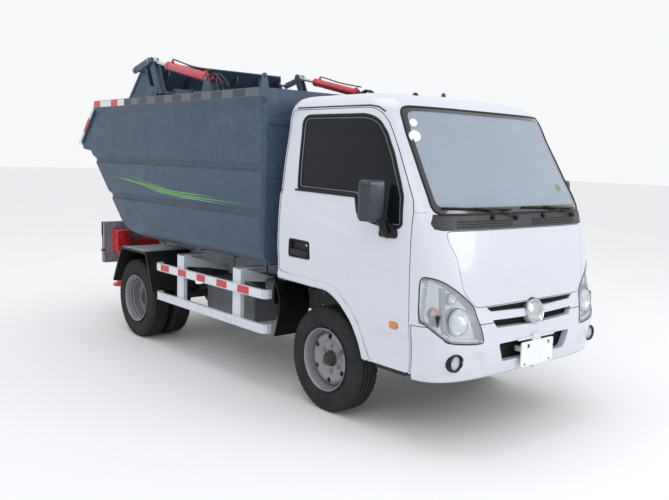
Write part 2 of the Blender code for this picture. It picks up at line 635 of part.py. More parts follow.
def hopper():
    hull = hopper_solid("hull", 0.0, HOPPER_SIDE, -0.680, 2.6)
    inside_space = hopper_solid("inside", HOPPER_WALL, HOPPER_INSIDE, -0.670, 2.6)
    hull = cut(hull, [inside_space])
    extras = []
    for side in SIDES:
        rim = [(HOPPER_X - 0.005, 1.900), (HOPPER_X, 1.905), (HOPPER_X + RIM_OUT, 1.948),
               (HOPPER_X + RIM_OUT, HOPPER_TOP), (HOPPER_X - 0.030, HOPPER_TOP),
               (HOPPER_X - 0.030, HOPPER_TOP - 0.012), (HOPPER_X - 0.005, HOPPER_TOP - 0.012)]
        bar = prism("rim", mirrored(rim, side), "y", HOPPER_FRONT, 1.890)
        mouth = ((1.893, 2.013), (1.845, 1.997), (2.195, 1.646), (2.255, 1.650))
        edge = prism("edge", mouth, "x", *sorted((side * (HOPPER_X - 0.004), side * (HOPPER_X + 0.022))))
        lug = [(0.832, 1.960), (0.850, 1.940), (0.890, 1.950), (0.892, 2.020), (0.879, 2.085)]
        lug += around((0.861, 2.086), 0.018, 0, 180, 6) + [(0.830, 2.015)]
        ear = prism("lug", mirrored(lug, side), "y", HOPPER_FRONT - 0.010, HOPPER_FRONT + 0.002)
        ear = cut(ear, [rod("hole", (side * 0.861, -0.75, 2.080), (side * 0.861, -0.60, 2.080), 0.008, 12)])
        cheek = prism("cheek", ((0.860, 1.940), (0.860, 2.075), (0.890, 2.098), (0.930, 2.098),
                                (0.980, 2.060), (1.100, 2.045), (1.215, 2.045), (1.225, 1.940)),
                      "x", *sorted((side * 0.812, side * 0.852)))
        shaft = [rod("pin", (side * 0.726, *BLADE_PIVOT), (side * 0.820, *BLADE_PIVOT), 0.016, 16)]
        shelf = box("shelf", sorted((side * 0.700, side * 0.852)), (0.070, 0.240), (1.985, 2.013))
        tails = []
        for offset in (-0.030, 0.030):
            plate = prism("tail", ((0.075, 2.000), (0.235, 2.000), (0.175, 2.135), (0.153, 2.148),
                                   (0.131, 2.135)), "x", side * LINK_X + offset - 0.005,
                          side * LINK_X + offset + 0.005)
            tails.append(plate)
        tails.append(rod("pin", (side * LINK_X - 0.034, *CYLINDER_TAIL),
                         (side * LINK_X + 0.034, *CYLINDER_TAIL), 0.009, 12))
        sill = box("sill", sorted((side * 0.335, side * 0.385)), (-0.640, 1.350), (SUB_TOP + 0.002, 0.862))
        knuckle = prism("knuckle", ((1.300, SUB_TOP + 0.002), (1.440, SUB_TOP + 0.002),
                                    *around(TIP_HINGE, 0.034, -90, 90, 6), (1.520, 1.060), (1.300, 0.925)),
                        "x", *sorted((side * 0.2995, side * 0.3365)))
        brace = box("brace", sorted((side * 0.30, side * 0.385)), (1.200, 1.340), (SUB_TOP + 0.002, 0.885))
        extras += [bar, edge, ear, cheek, shelf, sill, knuckle, brace] + shaft + tails
    beam = box("beam", (-0.690, 0.690), (0.790, 0.830), (1.990, 2.085))
    tie = box("tie", (-0.852, 0.852), (0.785, 0.835), (1.955, 1.995))
    rear_lip = prism("lip", ((2.075, 1.613), (2.238, 1.629), (2.248, 1.600), (2.200, 1.585),
                             (2.045, 1.572)), "x", -0.850, 0.850)
    eye_ears = [prism("ear", ((0.600, 0.860), (0.700, 0.860), (0.680, 0.785), (0.650, 0.770),
                              (0.620, 0.785)), "x", side * 0.048 - 0.008, side * 0.048 + 0.008)
                for side in SIDES]
    hull = join(hull, extras + [beam, tie, rear_lip] + eye_ears)
    pins = [rod("pin", (side * 0.25, *TIP_HINGE), (side * 0.45, *TIP_HINGE), 0.0130, 16)
            for side in SIDES]
    finish(cut(hull, pins), "hopper", HULL)


def packer():
    """Blade on two side arms, rockers on a cross shaft, and the links between them."""
    pivot, tip = Vector(BLADE_PIVOT), Vector(BLADE_TIP)
    along = Vector((0.7071, -0.7071))
    out = Vector((0.7071, 0.7071))
    top = pivot + out * 0.317 - along * 0.170
    link_pin = pivot + Vector(CRANK)
    face = [tip, top, top - out * 0.012, tip - out * 0.012 - along * 0.0]
    plate = prism("plate", [tuple(p) for p in face], "x", -BLADE_X, BLADE_X)
    parts = []
    for side in SIDES:
        arm = [tuple(tip - out * 0.002), tuple(top - out * 0.002), tuple(link_pin + Vector((-0.010, 0.030))),
               tuple(link_pin + Vector((-0.035, -0.005))), tuple(pivot + Vector((-0.045, 0.010))),
               tuple(pivot + Vector((-0.030, -0.035))), tuple(pivot + Vector((0.010, -0.045))),
               tuple(tip - out * 0.100 - along * 0.080), tuple(tip - out * 0.030)]
        arm_plate = prism("arm", arm, "x", *sorted((side * BLADE_X, side * (BLADE_X + 0.012))))
        arm_plate = join(arm_plate, [rod("pin", (side * 0.706, *link_pin), (side * 0.800, *link_pin), 0.0105, 16)])
        parts.append(arm_plate)
        for x in (0.23, 0.47):
            rib = [tuple(tip - out * 0.010 - along * 0.060), tuple(top - out * 0.010 + along * 0.040),
                   tuple(top - out * 0.055 + along * 0.080), tuple(tip - out * 0.055 - along * 0.090)]
            parts.append(prism("rib", rib, "x", side * x - 0.006, side * x + 0.006))
    made = join(plate, parts)
    bores = [rod("bore", (side * 0.68, *BLADE_PIVOT), (side * 0.735, *BLADE_PIVOT), 0.0185, 16)
             for side in SIDES]
    finish(cut(made, bores), "packing_blade", HULL)

    rocker_pin = Vector(ROCKER_PIVOT) + Vector(CRANK)
    shaft = rod("shaft", (-0.811, *ROCKER_PIVOT), (0.811, *ROCKER_PIVOT), 0.017, 16)
    parts = []
    for side in SIDES:
        for offset in (-0.024, 0.024):
            x = side * LINK_X + offset
            parts.append(prism("plate", bar_outline(ROCKER_PIVOT, tuple(rocker_pin), 0.032), "x",
                               x - 0.005, x + 0.005))
        parts.append(rod("pin", (side * (LINK_X + 0.022), *rocker_pin),
                         (side * 0.800, *rocker_pin), 0.0105, 16))
    finish(join(shaft, parts), "rocker_shaft", HULL)
    for side in SIDES:
        outline = bar_outline(tuple(link_pin), tuple(rocker_pin), 0.027)
        link = prism("link", outline, "x", *sorted((side * 0.784, side * 0.798)))
        link = cut(link, [rod("hole", (side * 0.77, *at), (side * 0.81, *at), 0.0120, 16)
                          for at in (link_pin, rocker_pin)])
        finish(link, f"link_{side_name(side)}", HULL)


def cylinder(name, x, tail, eye, reach, bore, rod_radius, eye_hole, tail_radius):
    """A barrel pivoted at its tail, and a rod that slides out of it to an eye."""
    tail, eye = Vector((x, *tail)), Vector((x, *eye))
    along = (eye - tail).normalized()
    across = Vector((1, 0, 0))
    barrel = rod("barrel", tail + along * 0.045, tail + along * reach, bore, 20)
    lug = rod("lug", tail - across * 0.020, tail + across * 0.020, tail_radius, 16)
    neck = rod("neck", tail + along * tail_radius * 0.8, tail + along * 0.055, bore * 0.55, 16)
    barrel = join(barrel, [lug, neck])
    hollow = rod("hollow", tail + along * 0.075, tail + along * (reach + 0.01), rod_radius + 0.002, 16)
    pin = rod("pin", tail - across * 0.03, tail + across * 0.03, 0.0100, 16)
    finish(cut(barrel, [hollow, pin]), f"{name}_barrel", RED)
    shaft = rod("shaft", tail + along * 0.090, eye - along * (eye_hole + 0.004), rod_radius, 16)
    ring = rod("ring", eye - across * 0.016, eye + across * 0.016, eye_hole + 0.012, 24)
    made = join(shaft, [ring])
    made = cut(made, [rod("hole", eye - across * 0.03, eye + across * 0.03, eye_hole, 20)])
    finish(made, f"{name}_rod", CHROME)


def cylinders():
    rocker_pin = Vector(ROCKER_PIVOT) + Vector(CRANK)
    for side in SIDES:
        cylinder(f"packer_{side_name(side)}", side * LINK_X, CYLINDER_TAIL, tuple(rocker_pin),
                 0.640, 0.034, 0.014, 0.019, 0.022)
    cylinder("lift", 0.0, LIFT_TAIL, LIFT_EYE, 0.730, 0.045, 0.026, 0.024, 0.030)


for one_side in SIDES:
    front_wheel(one_side)
    rear_wheels(one_side)
    side_guard(one_side)
    rear_mudguard(one_side)
chassis()
front_axle()
rear_axle()
rear_end()
cab()
hopper()
packer()
cylinders()
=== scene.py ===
"""Looks for the small garbage truck: a white cab, a grey tipping hopper and its packing linkage.

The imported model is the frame, in metres, +Z up, the front at -Y and the truck's right side at -X.
"""
import math

import bmesh
import bpy
from mathutils import Matrix, Vector
from mathutils.bvhtree import BVHTree
from mathutils.geometry import barycentric_transform


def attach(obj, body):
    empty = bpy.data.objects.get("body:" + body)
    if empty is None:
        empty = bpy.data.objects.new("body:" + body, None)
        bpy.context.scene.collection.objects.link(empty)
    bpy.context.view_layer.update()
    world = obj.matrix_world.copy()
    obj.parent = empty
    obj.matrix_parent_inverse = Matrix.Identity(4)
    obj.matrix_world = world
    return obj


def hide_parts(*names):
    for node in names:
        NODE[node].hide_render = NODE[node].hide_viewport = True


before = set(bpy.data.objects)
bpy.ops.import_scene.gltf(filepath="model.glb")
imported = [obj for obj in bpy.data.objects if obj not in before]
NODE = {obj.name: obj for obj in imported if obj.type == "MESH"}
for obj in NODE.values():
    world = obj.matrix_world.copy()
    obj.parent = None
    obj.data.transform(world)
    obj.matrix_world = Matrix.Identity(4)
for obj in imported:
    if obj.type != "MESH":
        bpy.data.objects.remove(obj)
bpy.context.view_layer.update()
SIDES = (("right", -1), ("left", 1))

# ---------------------------------------------------------------- camera
CAMERA = (-3.74938, -4.76531, 1.57908)
YAW, PITCH, ROLL = (math.radians(a) for a in (40.8147, 6.94894, 1.71601))
LENS = 761.532 / 669 * 36


def set_camera():
    ahead = Vector((math.sin(YAW) * math.cos(PITCH), math.cos(YAW) * math.cos(PITCH), -math.sin(PITCH)))
    right = Vector((math.cos(YAW), -math.sin(YAW), 0))
    up = right.cross(ahead)
    c, s = math.cos(ROLL), math.sin(ROLL)
    data = bpy.data.cameras.new("camera")
    data.lens, data.sensor_width, data.sensor_fit = LENS, 36, "HORIZONTAL"
    data.clip_end = 200
    made = bpy.data.objects.new("camera", data)
    bpy.context.scene.collection.objects.link(made)
    axes = Matrix((c * right + s * up, -s * right + c * up, -ahead)).transposed()
    made.matrix_world = Matrix.Translation(CAMERA) @ axes.to_4x4()
    bpy.context.scene.camera = made


set_camera()


# ---------------------------------------------------------------- materials
def srgb(r, g, b):
    return tuple(c / 12.92 if c <= 0.04045 else ((c + 0.055) / 1.055) ** 2.4 for c in (r / 255, g / 255, b / 255))


def node(tree, kind, inputs=(), **settings):
    made = tree.nodes.new(kind)
    for key, value in settings.items():
        setattr(made, key, value)
    for key, value in dict(inputs).items():
        if isinstance(value, bpy.types.NodeSocket):
            tree.links.new(value, made.inputs[key])
        else:
            made.inputs[key].default_value = value
    return made


def mixed(tree, factor, a, b):
    return node(tree, "ShaderNodeMix", {0: factor, 6: a, 7: b}, data_type="RGBA").outputs[2]


def paint(name, rgb, rough, metal=0.0, coat=0.0, vary=0.06, scale=3.0, bump=(250.0, 0.05), dust=0.0, wear=0.0,
        alpha=1.0, specular=0.5, sheen=0.0, pattern="noise", depth=0.002, rough_vary=0.07, bare=None,
        transmission=0.0, ior=1.5):
    """A painted, moulded or cast surface: uneven colour, dust low down, worn edges, fine bump."""
    made = bpy.data.materials.new(name)
    made.use_nodes = True
    tree = made.node_tree
    shader = tree.nodes["Principled BSDF"]
    base = srgb(*rgb)
    at = node(tree, "ShaderNodeTexCoord").outputs["Object"]
    cloud = node(tree, "ShaderNodeTexNoise", {"Vector": at, "Scale": scale, "Detail": 6.0,
        "Roughness": 0.6}).outputs[0]
    spread = node(tree, "ShaderNodeMapRange", {0: cloud, 1: 0.3, 2: 0.7}).outputs[0]
    colour = mixed(tree, spread, (*[c * (1 - vary) for c in base], 1), (*[min(1, c * (1 + vary)) for c in base], 1))
    if wear:
        edge = node(tree, "ShaderNodeNewGeometry").outputs["Pointiness"]
        edge = node(tree, "ShaderNodeMapRange", {0: edge, 1: 0.515, 2: 0.60, 3: 0.0, 4: wear}).outputs[0]
        patch = node(tree, "ShaderNodeTexNoise", {"Vector": at, "Scale": 24.0, "Detail": 5.0}).outputs[0]
        patch = node(tree, "ShaderNodeMapRange", {0: patch, 1: 0.42, 2: 0.6}).outputs[0]
        edge = node(tree, "ShaderNodeMath", {0: edge, 1: patch}, operation="MULTIPLY").outputs[0]
        colour = mixed(tree, edge, colour, (*(bare or [min(1, c * 1.7 + 0.05) for c in base]), 1))
    if dust:
        height = node(tree, "ShaderNodeSeparateXYZ", {0: at}).outputs[2]
        low = node(tree, "ShaderNodeMapRange", {0: height, 1: 0.1, 2: 1.25, 3: dust, 4: dust * 0.12}).outputs[0]
        film = node(tree, "ShaderNodeTexNoise", {"Vector": at, "Scale": 9.0, "Detail": 8.0}).outputs[0]
        film = node(tree, "ShaderNodeMapRange", {0: film, 1: 0.3, 2: 0.7}).outputs[0]
        low = node(tree, "ShaderNodeMath", {0: low, 1: film}, operation="MULTIPLY").outputs[0]
        colour = mixed(tree, low, colour, (0.23, 0.21, 0.185, 1))
    tree.links.new(colour, shader.inputs["Base Color"])
    gloss = node(tree, "ShaderNodeTexNoise", {"Vector": at, "Scale": scale * 3.3, "Detail": 5.0}).outputs[0]
    gloss = node(tree, "ShaderNodeMapRange", {0: gloss, 1: 0.3, 2: 0.7, 3: max(0.02, rough - rough_vary),
        4: min(1.0, rough + rough_vary)}).outputs[0]
    tree.links.new(gloss, shader.inputs["Roughness"])
    if pattern == "noise":
        grain = node(tree, "ShaderNodeTexNoise", {"Vector": at, "Scale": bump[0], "Detail": 3.0}).outputs[0]
    elif pattern == "cells":
        grain = node(tree, "ShaderNodeTexVoronoi", {"Vector": at, "Scale": bump[0]},
            feature="DISTANCE_TO_EDGE").outputs[0]
    else:                                   # woven cloth
        one = node(tree, "ShaderNodeTexWave", {"Vector": at, "Scale": bump[0], "Distortion": 0.6},
            bands_direction="X").outputs[1]
        two = node(tree, "ShaderNodeTexWave", {"Vector": at, "Scale": bump[0], "Distortion": 0.6},
            bands_direction="Z").outputs[1]
        grain = node(tree, "ShaderNodeMath", {0: one, 1: two}, operation="ADD").outputs[0]
    normal = node(tree, "ShaderNodeBump", {"Strength": bump[1], "Distance": depth, "Height": grain}).outputs[0]
    tree.links.new(normal, shader.inputs["Normal"])
    for key, value in {"Metallic": metal, "Coat Weight": coat, "Coat Roughness": 0.06, "Alpha": alpha,
            "Specular IOR Level": specular, "Sheen Weight": sheen, "IOR": ior,
            "Transmission Weight": transmission}.items():
        shader.inputs[key].default_value = value
    return made


WHITE = paint("cab_white", (206, 210, 220), 0.30, coat=0.45, vary=0.012, scale=1.4, bump=(170, 0.02), dust=0.05,
    wear=0.0)
SHELL_IN = paint("cab_inner_trim", (46, 48, 52), 0.7, vary=0.06, bump=(420, 0.25), dust=0.05)
WELL = paint("wheel_well_black", (20, 20, 22), 0.75, vary=0.12, bump=(90, 0.3), dust=0.22)
HULL = paint("hopper_grey", (62, 79, 100), 0.46, coat=0.04, specular=0.3, vary=0.05, scale=1.8, bump=(85, 0.05),
    dust=0.05, wear=0.35)
HULL_IN = paint("hopper_inner_wall", (62, 71, 82), 0.6, specular=0.3, vary=0.14, scale=5.0, bump=(40, 0.12),
    dust=0.25, wear=0.5)
FRAME = paint("frame_grey", (140, 145, 152), 0.5, vary=0.06, scale=4, bump=(120, 0.06), dust=0.16, wear=0.4)
TANK = paint("tank_grey", (86, 89, 94), 0.5, vary=0.08, scale=5, bump=(110, 0.06), dust=0.16, wear=0.3)
DARK = paint("running_gear_black", (24, 24, 26), 0.6, vary=0.18, scale=6, bump=(70, 0.25), dust=0.20, wear=0.3)
BLACK = paint("black_plastic", (20, 21, 24), 0.5, specular=0.35, vary=0.07, scale=8, bump=(650, 0.22), dust=0.08)
TRIM = paint("black_rubber_trim", (14, 15, 17), 0.45, specular=0.3, vary=0.05, scale=10, bump=(300, 0.08))
COWL = paint("cowl_grey", (40, 43, 48), 0.45, vary=0.06, scale=9, bump=(500, 0.12))
MIRROR = paint("mirror_blue_black", (33, 40, 54), 0.34, coat=0.25, vary=0.05, scale=9, bump=(500, 0.1))
RUBBER = paint("tyre_rubber", (31, 32, 35), 0.75, vary=0.10, scale=12, bump=(260, 0.16), dust=0.07, specular=0.25)
STEEL = paint("wheel_silver", (137, 138, 145), 0.38, metal=0.35, vary=0.05, scale=10, bump=(220, 0.07), dust=0.16,
    wear=0.2)
NUT = paint("nut_steel", (150, 150, 152), 0.35, metal=0.8, vary=0.1, scale=30, bump=(200, 0.1), dust=0.2)
CAST = paint("cast_hub", (44, 43, 42), 0.6, metal=0.3, vary=0.2, scale=20, bump=(120, 0.35), dust=0.25)
RED = paint("cylinder_red", (178, 22, 44), 0.34, coat=0.35, vary=0.05, scale=9, bump=(160, 0.04), dust=0.05,
    wear=0.35)
LEG_RED = paint("leg_red", (196, 28, 34), 0.4, coat=0.2, vary=0.08, scale=9, bump=(120, 0.08), dust=0.12, wear=0.4)
CHROME = paint("rod_chrome", (200, 202, 206), 0.12, metal=1.0, vary=0.03, scale=14, bump=(400, 0.02), rough_vary=0.04)
# painted reflection: the windscreen's pale blue-grey at half opacity is partly a light tint and partly painted
# reflection of the bright surroundings
GLASS = paint("windscreen_glass", (184, 197, 214), 0.05, coat=0.6, vary=0.06, scale=1.2, bump=(2.2, 0.03), alpha=0.50,
    rough_vary=0.02, depth=0.01)
SIDE_GLASS = paint("door_glass", (22, 26, 33), 0.05, specular=0.22, vary=0.10, scale=1.5, bump=(2.0, 0.03),
    alpha=0.84, rough_vary=0.02, depth=0.01)
FRIT = paint("glass_border", (40, 43, 48), 0.12, coat=0.8, vary=0.04, scale=5, bump=(500, 0.02))
LENS_MAT = paint("lamp_clear", (226, 232, 238), 0.05, coat=0.4, vary=0.02, scale=6, bump=(60, 0.02), alpha=0.20,
    rough_vary=0.02)
BRIGHT = paint("reflector", (214, 218, 224), 0.16, metal=0.92, vary=0.04, scale=20, bump=(90, 0.12), rough_vary=0.05)
LAMP_GREY = paint("lamp_bezel", (118, 123, 130), 0.35, metal=0.4, vary=0.05, scale=14, bump=(200, 0.06))
AMBER = paint("amber_lens", (226, 118, 22), 0.18, coat=0.6, vary=0.12, scale=30, bump=(170, 0.3), pattern="cells")
RED_LENS = paint("red_lens", (170, 18, 20), 0.18, coat=0.6, vary=0.12, scale=30, bump=(170, 0.3), pattern="cells")
TAPE_RED = paint("tape_red", (196, 38, 48), 0.32, coat=0.2, vary=0.05, scale=14, bump=(240, 0.35), pattern="cells",
    depth=0.0006)
TAPE_WHITE = paint("tape_white", (214, 217, 221), 0.30, coat=0.2, vary=0.04, scale=14, bump=(240, 0.35),
    pattern="cells", depth=0.0006)
# painted shade: the rim tape's red and white squares as they look in shade, dark for the red and grey for the white
TAPE_RED_IN_SHADE = paint("tape_red_painted_shade", (42, 50, 60), 0.36, coat=0.1, vary=0.08, scale=14, bump=(240, 0.35), pattern="cells",
    depth=0.0006)
TAPE_WHITE_IN_SHADE = paint("tape_white_painted_shade", (84, 92, 101), 0.36, coat=0.1, vary=0.08, scale=14, bump=(240, 0.35), pattern="cells",
    depth=0.0006)
GREEN = paint("swoosh_green", (74, 142, 62), 0.38, coat=0.2, vary=0.10, scale=8, bump=(150, 0.04))
GREEN_PALE = paint("swoosh_pale", (128, 168, 112), 0.38, coat=0.2, vary=0.10, scale=8, bump=(150, 0.04))
CLOTH = paint("seat_cloth", (92, 96, 104), 0.85, vary=0.10, scale=16, bump=(160, 0.5), sheen=0.35, pattern="weave",
    depth=0.0012)
VINYL = paint("seat_vinyl", (52, 54, 59), 0.5, vary=0.07, scale=14, bump=(330, 0.3), sheen=0.1)
DASH = paint("dash_plastic", (78, 80, 84), 0.55, vary=0.06, scale=12, bump=(520, 0.3))
PAPER = paint("blank_paper", (232, 234, 236), 0.7, vary=0.03, scale=12, bump=(220, 0.08))
SILVER_TRIM = paint("silver_trim", (196, 199, 204), 0.2, metal=0.85, vary=0.04, scale=20, bump=(300, 0.03),
    rough_vary=0.04)
HOSE = paint("hydraulic_hose", (21, 21, 23), 0.5, vary=0.1, scale=20, bump=(380, 0.25))


# ---------------------------------------------------------------- shapes: (points, faces)
def rings(rows, closed=False, caps=True):
    count, length = len(rows), len(rows[0])
    points = [Vector(p) for row in rows for p in row]
    faces = []
    for a in range(count if closed else count - 1):
        b = (a + 1) % count
        for i in range(length):
            j = (i + 1) % length
            faces.append((a * length + i, a * length + j, b * length + j, b * length + i))
    if caps and not closed:
        faces.append(tuple(reversed(range(length))))
        faces.append(tuple(range((count - 1) * length, count * length)))
    return points, faces


def prism(outline, axis, low, high):
    order = {"x": lambda a, b, t: (t, a, b), "y": lambda a, b, t: (a, t, b), "z": lambda a, b, t: (a, b, t)}[axis]
    return rings([[order(a, b, t) for a, b in outline] for t in (low, high)])


def box(x, y, z):
    x, y, z = sorted(x), sorted(y), sorted(z)
    return prism(((x[0], y[0]), (x[1], y[0]), (x[1], y[1]), (x[0], y[1])), "z", *z)


def circle(radius, sides, phase=0.0):
    return [(radius * math.cos(math.tau * (i + phase) / sides), radius * math.sin(math.tau * (i + phase) / sides))
        for i in range(sides)]


def rod(start, end, radius, sides=24, end_radius=None):
    start, end = Vector(start), Vector(end)
    turn = (end - start).to_track_quat("Z", "Y").to_matrix()
    return rings([[at + turn @ Vector((a, b, 0)) for a, b in circle(r, sides)] for at,
        r in ((start, radius), (end, end_radius or radius))])


def turned(profile, centre, axis="x", sides=48, closed=True):
    """A profile of (offset along the axis, radius) turned about the axis."""
    rows = []
    for i in range(sides):
        c, s = math.cos(math.tau * (i + 0.5) / sides), math.sin(math.tau * (i + 0.5) / sides)
        row = [{"x": (t, r * c, r * s), "y": (r * c, t, r * s), "z": (r * c, r * s, t)}[axis] for t, r in profile]
        rows.append([Vector(centre) + Vector(p) for p in row])
    points, faces = rings(rows, closed=True)
    if not closed:
        n = len(profile)
        faces = [f for f in faces if not (f[0] % n == n - 1)]
    return points, faces


def aimed(shape, at, direction):
    """A shape made along +z at the origin, turned to a direction and moved."""
    turn = Vector(direction).to_track_quat("Z", "Y").to_matrix()
    return [Vector(at) + turn @ Vector(p) for p in shape[0]], shape[1]


def hexagon(at, direction, across, height, washer=True):
    parts = [aimed(rings([[(a, b, t) for a, b in circle(r, 6)] for t, r in ((0, across * 0.577),
        (height * 0.8, across * 0.577), (height, across * 0.48))]), at, direction)]
    if washer:
        parts.append(aimed(rings([[(a, b, t) for a, b in circle(across * 0.72, 16)] for t in (-0.001, height * 0.2)]),
            at, direction))
    return parts


def sweep(path, section, closed=False, normals=None, caps=True):
    """A section of (across, outward) carried along a path; outward is the normal there."""
    path = [Vector(p) for p in path]
    rows, count = [], len(path)
    hint = Vector((0.02, 0.03, 1)).normalized()
    for i, at in enumerate(path):
        before = path[i - 1] if (closed or i) else at
        after = path[(i + 1) % count] if (closed or i < count - 1) else at
        along = (after - before).normalized()
        up = Vector(normals[i]) if normals else hint
        up = (up - along * up.dot(along))
        if up.length < 1e-4:
            up = along.orthogonal()
        up.normalize()
        if not normals:
            hint = up
        across = along.cross(up)
        rows.append([at + across * a + up * b for a, b in section])
    return rings(rows, closed=closed, caps=caps)


def curve_through(points, steps=6, closed=False):
    """A smooth line through its points."""
    points = [Vector(p) for p in points]
    count, made = len(points), []
    for i in range(count if closed else count - 1):
        if closed:
            p = [points[(i + k) % count] for k in (-1, 0, 1, 2)]
        else:
            p = [points[max(0, i - 1)], points[i], points[i + 1], points[min(count - 1, i + 2)]]
        for k in range(steps):
            t = k / steps
            made.append(0.5 * ((2 * p[1]) + (p[2] - p[0]) * t + (2 * p[0] - 5 * p[1] + 4 * p[2] - p[3]) * t * t
                + (3 * p[1] - p[0] - 3 * p[2] + p[3]) * t ** 3))
    if not closed:
        made.append(points[-1])
    return made


def hose(points, radius, sides=10, steps=6):
    return sweep(curve_through(points, steps), circle(radius, sides))


def dense(outline, step, closed=True):
    """An outline with its long edges divided."""
    made, count = [], len(outline)
    for i in range(count if closed else count - 1):
        a, b = Vector(outline[i]), Vector(outline[(i + 1) % count])
        parts = max(1, math.ceil((b - a).length / step))
        made += [a.lerp(b, k / parts) for k in range(parts)]
    if not closed:
        made.append(Vector(outline[-1]))
    return made


def rounded(outline, radius, steps=4):
    """A closed outline with its corners rounded off."""
    made, count = [], len(outline)
    for i in range(count):
        at = Vector(outline[i])
        to, back = Vector(outline[(i + 1) % count]) - at, Vector(outline[i - 1]) - at
        size = min(radius, to.length * 0.45, back.length * 0.45)
        a, b = at + back.normalized() * size, at + to.normalized() * size
        for k in range(steps + 1):
            t = k / steps
            made.append((1 - t) ** 2 * a + 2 * t * (1 - t) * at + t * t * b)
    return [tuple(p) for p in made]


def grown(points, amount):
    points = [Vector(p) for p in points]
    area = sum(a.x * b.y - b.x * a.y for a, b in zip(points, points[1:] + points[:1]))
    turn, made = (1 if area > 0 else -1), []
    for i, point in enumerate(points):
        before, after = point - points[i - 1], points[(i + 1) % len(points)] - point
        n1 = Vector((before.y, -before.x)).normalized() * turn
        n2 = Vector((after.y, -after.x)).normalized() * turn
        mitre = (n1 + n2).normalized()
        made.append(tuple(point + mitre * (amount / max(0.4, mitre.dot(n1)))))
    return made


def flipped(shape, side):
    """The shape made for the left (+x) side, mirrored for the right when side is -1."""
    if side > 0:
        return shape
    return [Vector((-p[0], p[1], p[2])) for p in shape[0]], [tuple(reversed(f)) for f in shape[1]]


def raw(shapes, name="tool"):
    """A plain mesh object of one or more closed shapes."""
    if isinstance(shapes, tuple):
        shapes = [shapes]
    work = bmesh.new()
    for shape in shapes:
        made = [work.verts.new(p) for p in shape[0]]
        for f in shape[1]:
            try:
                face = work.faces.new([made[i] for i in f])
                face.material_index = shape[2] if len(shape) > 2 else 0
            except ValueError:
                pass
    bmesh.ops.recalc_face_normals(work, faces=work.faces)
    mesh = bpy.data.meshes.new(name)
    work.to_mesh(mesh)
    work.free()
    made = bpy.data.objects.new(name, mesh)
    bpy.context.scene.collection.objects.link(made)
    return made


def boolean(base, operation, tools, solver="EXACT"):
    for tool in tools:
        step = base.modifiers.new("step", "BOOLEAN")
        step.operation, step.solver, step.object = operation, solver, tool
    bpy.context.view_layer.update()
    mesh = bpy.data.meshes.new_from_object(base.evaluated_get(bpy.context.evaluated_depsgraph_get()))
    base.modifiers.clear()
    base.data = mesh
    for tool in tools:
        bpy.data.objects.remove(tool, do_unlink=True)
    return base


def cut(base, shapes):
    return boolean(base, "DIFFERENCE", [raw(s) for s in shapes])


def keep(base, shapes):
    return boolean(base, "INTERSECT", [raw(s) for s in shapes])


def dress(made, name, mats, body, slot=None, replaces=(), sharp=32, bevel=0.0, segments=2):
    """Name, smooth, colour and mount a finished piece."""
    mats = mats if isinstance(mats, (list, tuple)) else [mats]
    made.name = made.data.name = name
    index = [face.material_index for face in made.data.polygons]
    made.data.materials.clear()                     # this also resets every face's index
    for one in mats:
        made.data.materials.append(one)
    made.data.polygons.foreach_set("material_index", index)
    made.data.shade_smooth()
    made.data.set_sharp_from_angle(angle=math.radians(sharp))
    if bevel:
        step = made.modifiers.new("bevel", "BEVEL")
        step.width, step.segments, step.limit_method = bevel, segments, "ANGLE"
        step.angle_limit, step.harden_normals = math.radians(35), True
    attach(made, body)
    if replaces:
        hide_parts(*replaces)
    return made


def piece(name, shapes, mats, body, **more):
    return dress(raw(shapes, name), name, mats, body, **more)


# ---------------------------------------------------------------- cab skin
# height, half width, front face, rear face
CAB_LEVELS = ((0.395, 0.795, -2.222, -0.812), (0.420, 0.800, -2.228, -0.812), (0.550, 0.808, -2.245, -0.812),
    (0.660, 0.812, -2.236, -0.812), (0.780, 0.814, -2.205, -0.812), (1.000, 0.815, -2.165, -0.812),
    (1.205, 0.810, -2.116, -0.812), (1.293, 0.804, -2.090, -0.812), (1.500, 0.783, -1.978, -0.812),
    (1.700, 0.752, -1.868, -0.812), (1.890, 0.712, -1.762, -0.812), (1.930, 0.680, -1.705, -0.822),
    (1.957, 0.620, -1.620, -0.850), (1.972, 0.480, -1.480, -0.930))
CAB_POWER, CAB_CORNER, CUT, GAP = 4.2, 0.35, 0.005, 0.0003
ARCH = ((-0.70, 0.30), (-0.70, 0.792), (-1.31, 0.778), (-1.420, 0.722), (-1.530, 0.622), (-1.605, 0.490),
    (-1.650, 0.30))
ARCH_LIP = ((-0.70, 0.850), (-0.883, 0.836), (-1.120, 0.822), (-1.335, 0.820), (-1.464, 0.750), (-1.577, 0.648),
    (-1.652, 0.510), (-1.700, 0.425))
DOOR_FRONT = ((-1.992, 0.425), (-1.989, 0.705), (-1.974, 1.045), (-1.956, 1.304), (-1.938, 1.365), (-1.891, 1.447),
    (-1.792, 1.620), (-1.685, 1.790), (-1.640, 1.831), (-1.590, 1.856))
DOOR_TOP, DOOR_REAR = 1.868, -0.826
WINDOW = ((-.949, 1.790), (-.968, 1.818), (-.995, 1.828), (-1.500, 1.825), (-1.560, 1.815), (-1.602, 1.801),
    (-1.638, 1.778), (-1.690, 1.721), (-1.767, 1.603), (-1.846, 1.449), (-1.880, 1.375), (-1.898, 1.228),
    (-1.880, 1.213), (-1.764, 1.213), (-1.610, 1.238), (-1.548, 1.268), (-1.519, 1.370), (-.985, 1.382))
REAR_WINDOW = ((-0.45, 1.40), (0.45, 1.40), (0.45, 1.74), (-0.45, 1.74))
SCREEN = ((-0.700, 1.290), (0.700, 1.290), (0.660, 1.876), (-0.660, 1.876))
COWL_OUT = ((-0.720, 1.240), (-0.706, 1.212), (-0.660, 1.2035), (0.660, 1.2035), (0.706, 1.212), (0.720, 1.240),
    (0.700, 1.2895), (-0.700, 1.2895))
FRONT_LID = ((-0.641, 1.198), (0.641, 1.198), (0.637, 1.145), (0.598, 1.060), (0.576, 0.883), (0.500, 0.790),
    (-0.500, 0.790), (-0.576, 0.883), (-0.598, 1.060), (-0.637, 1.145))
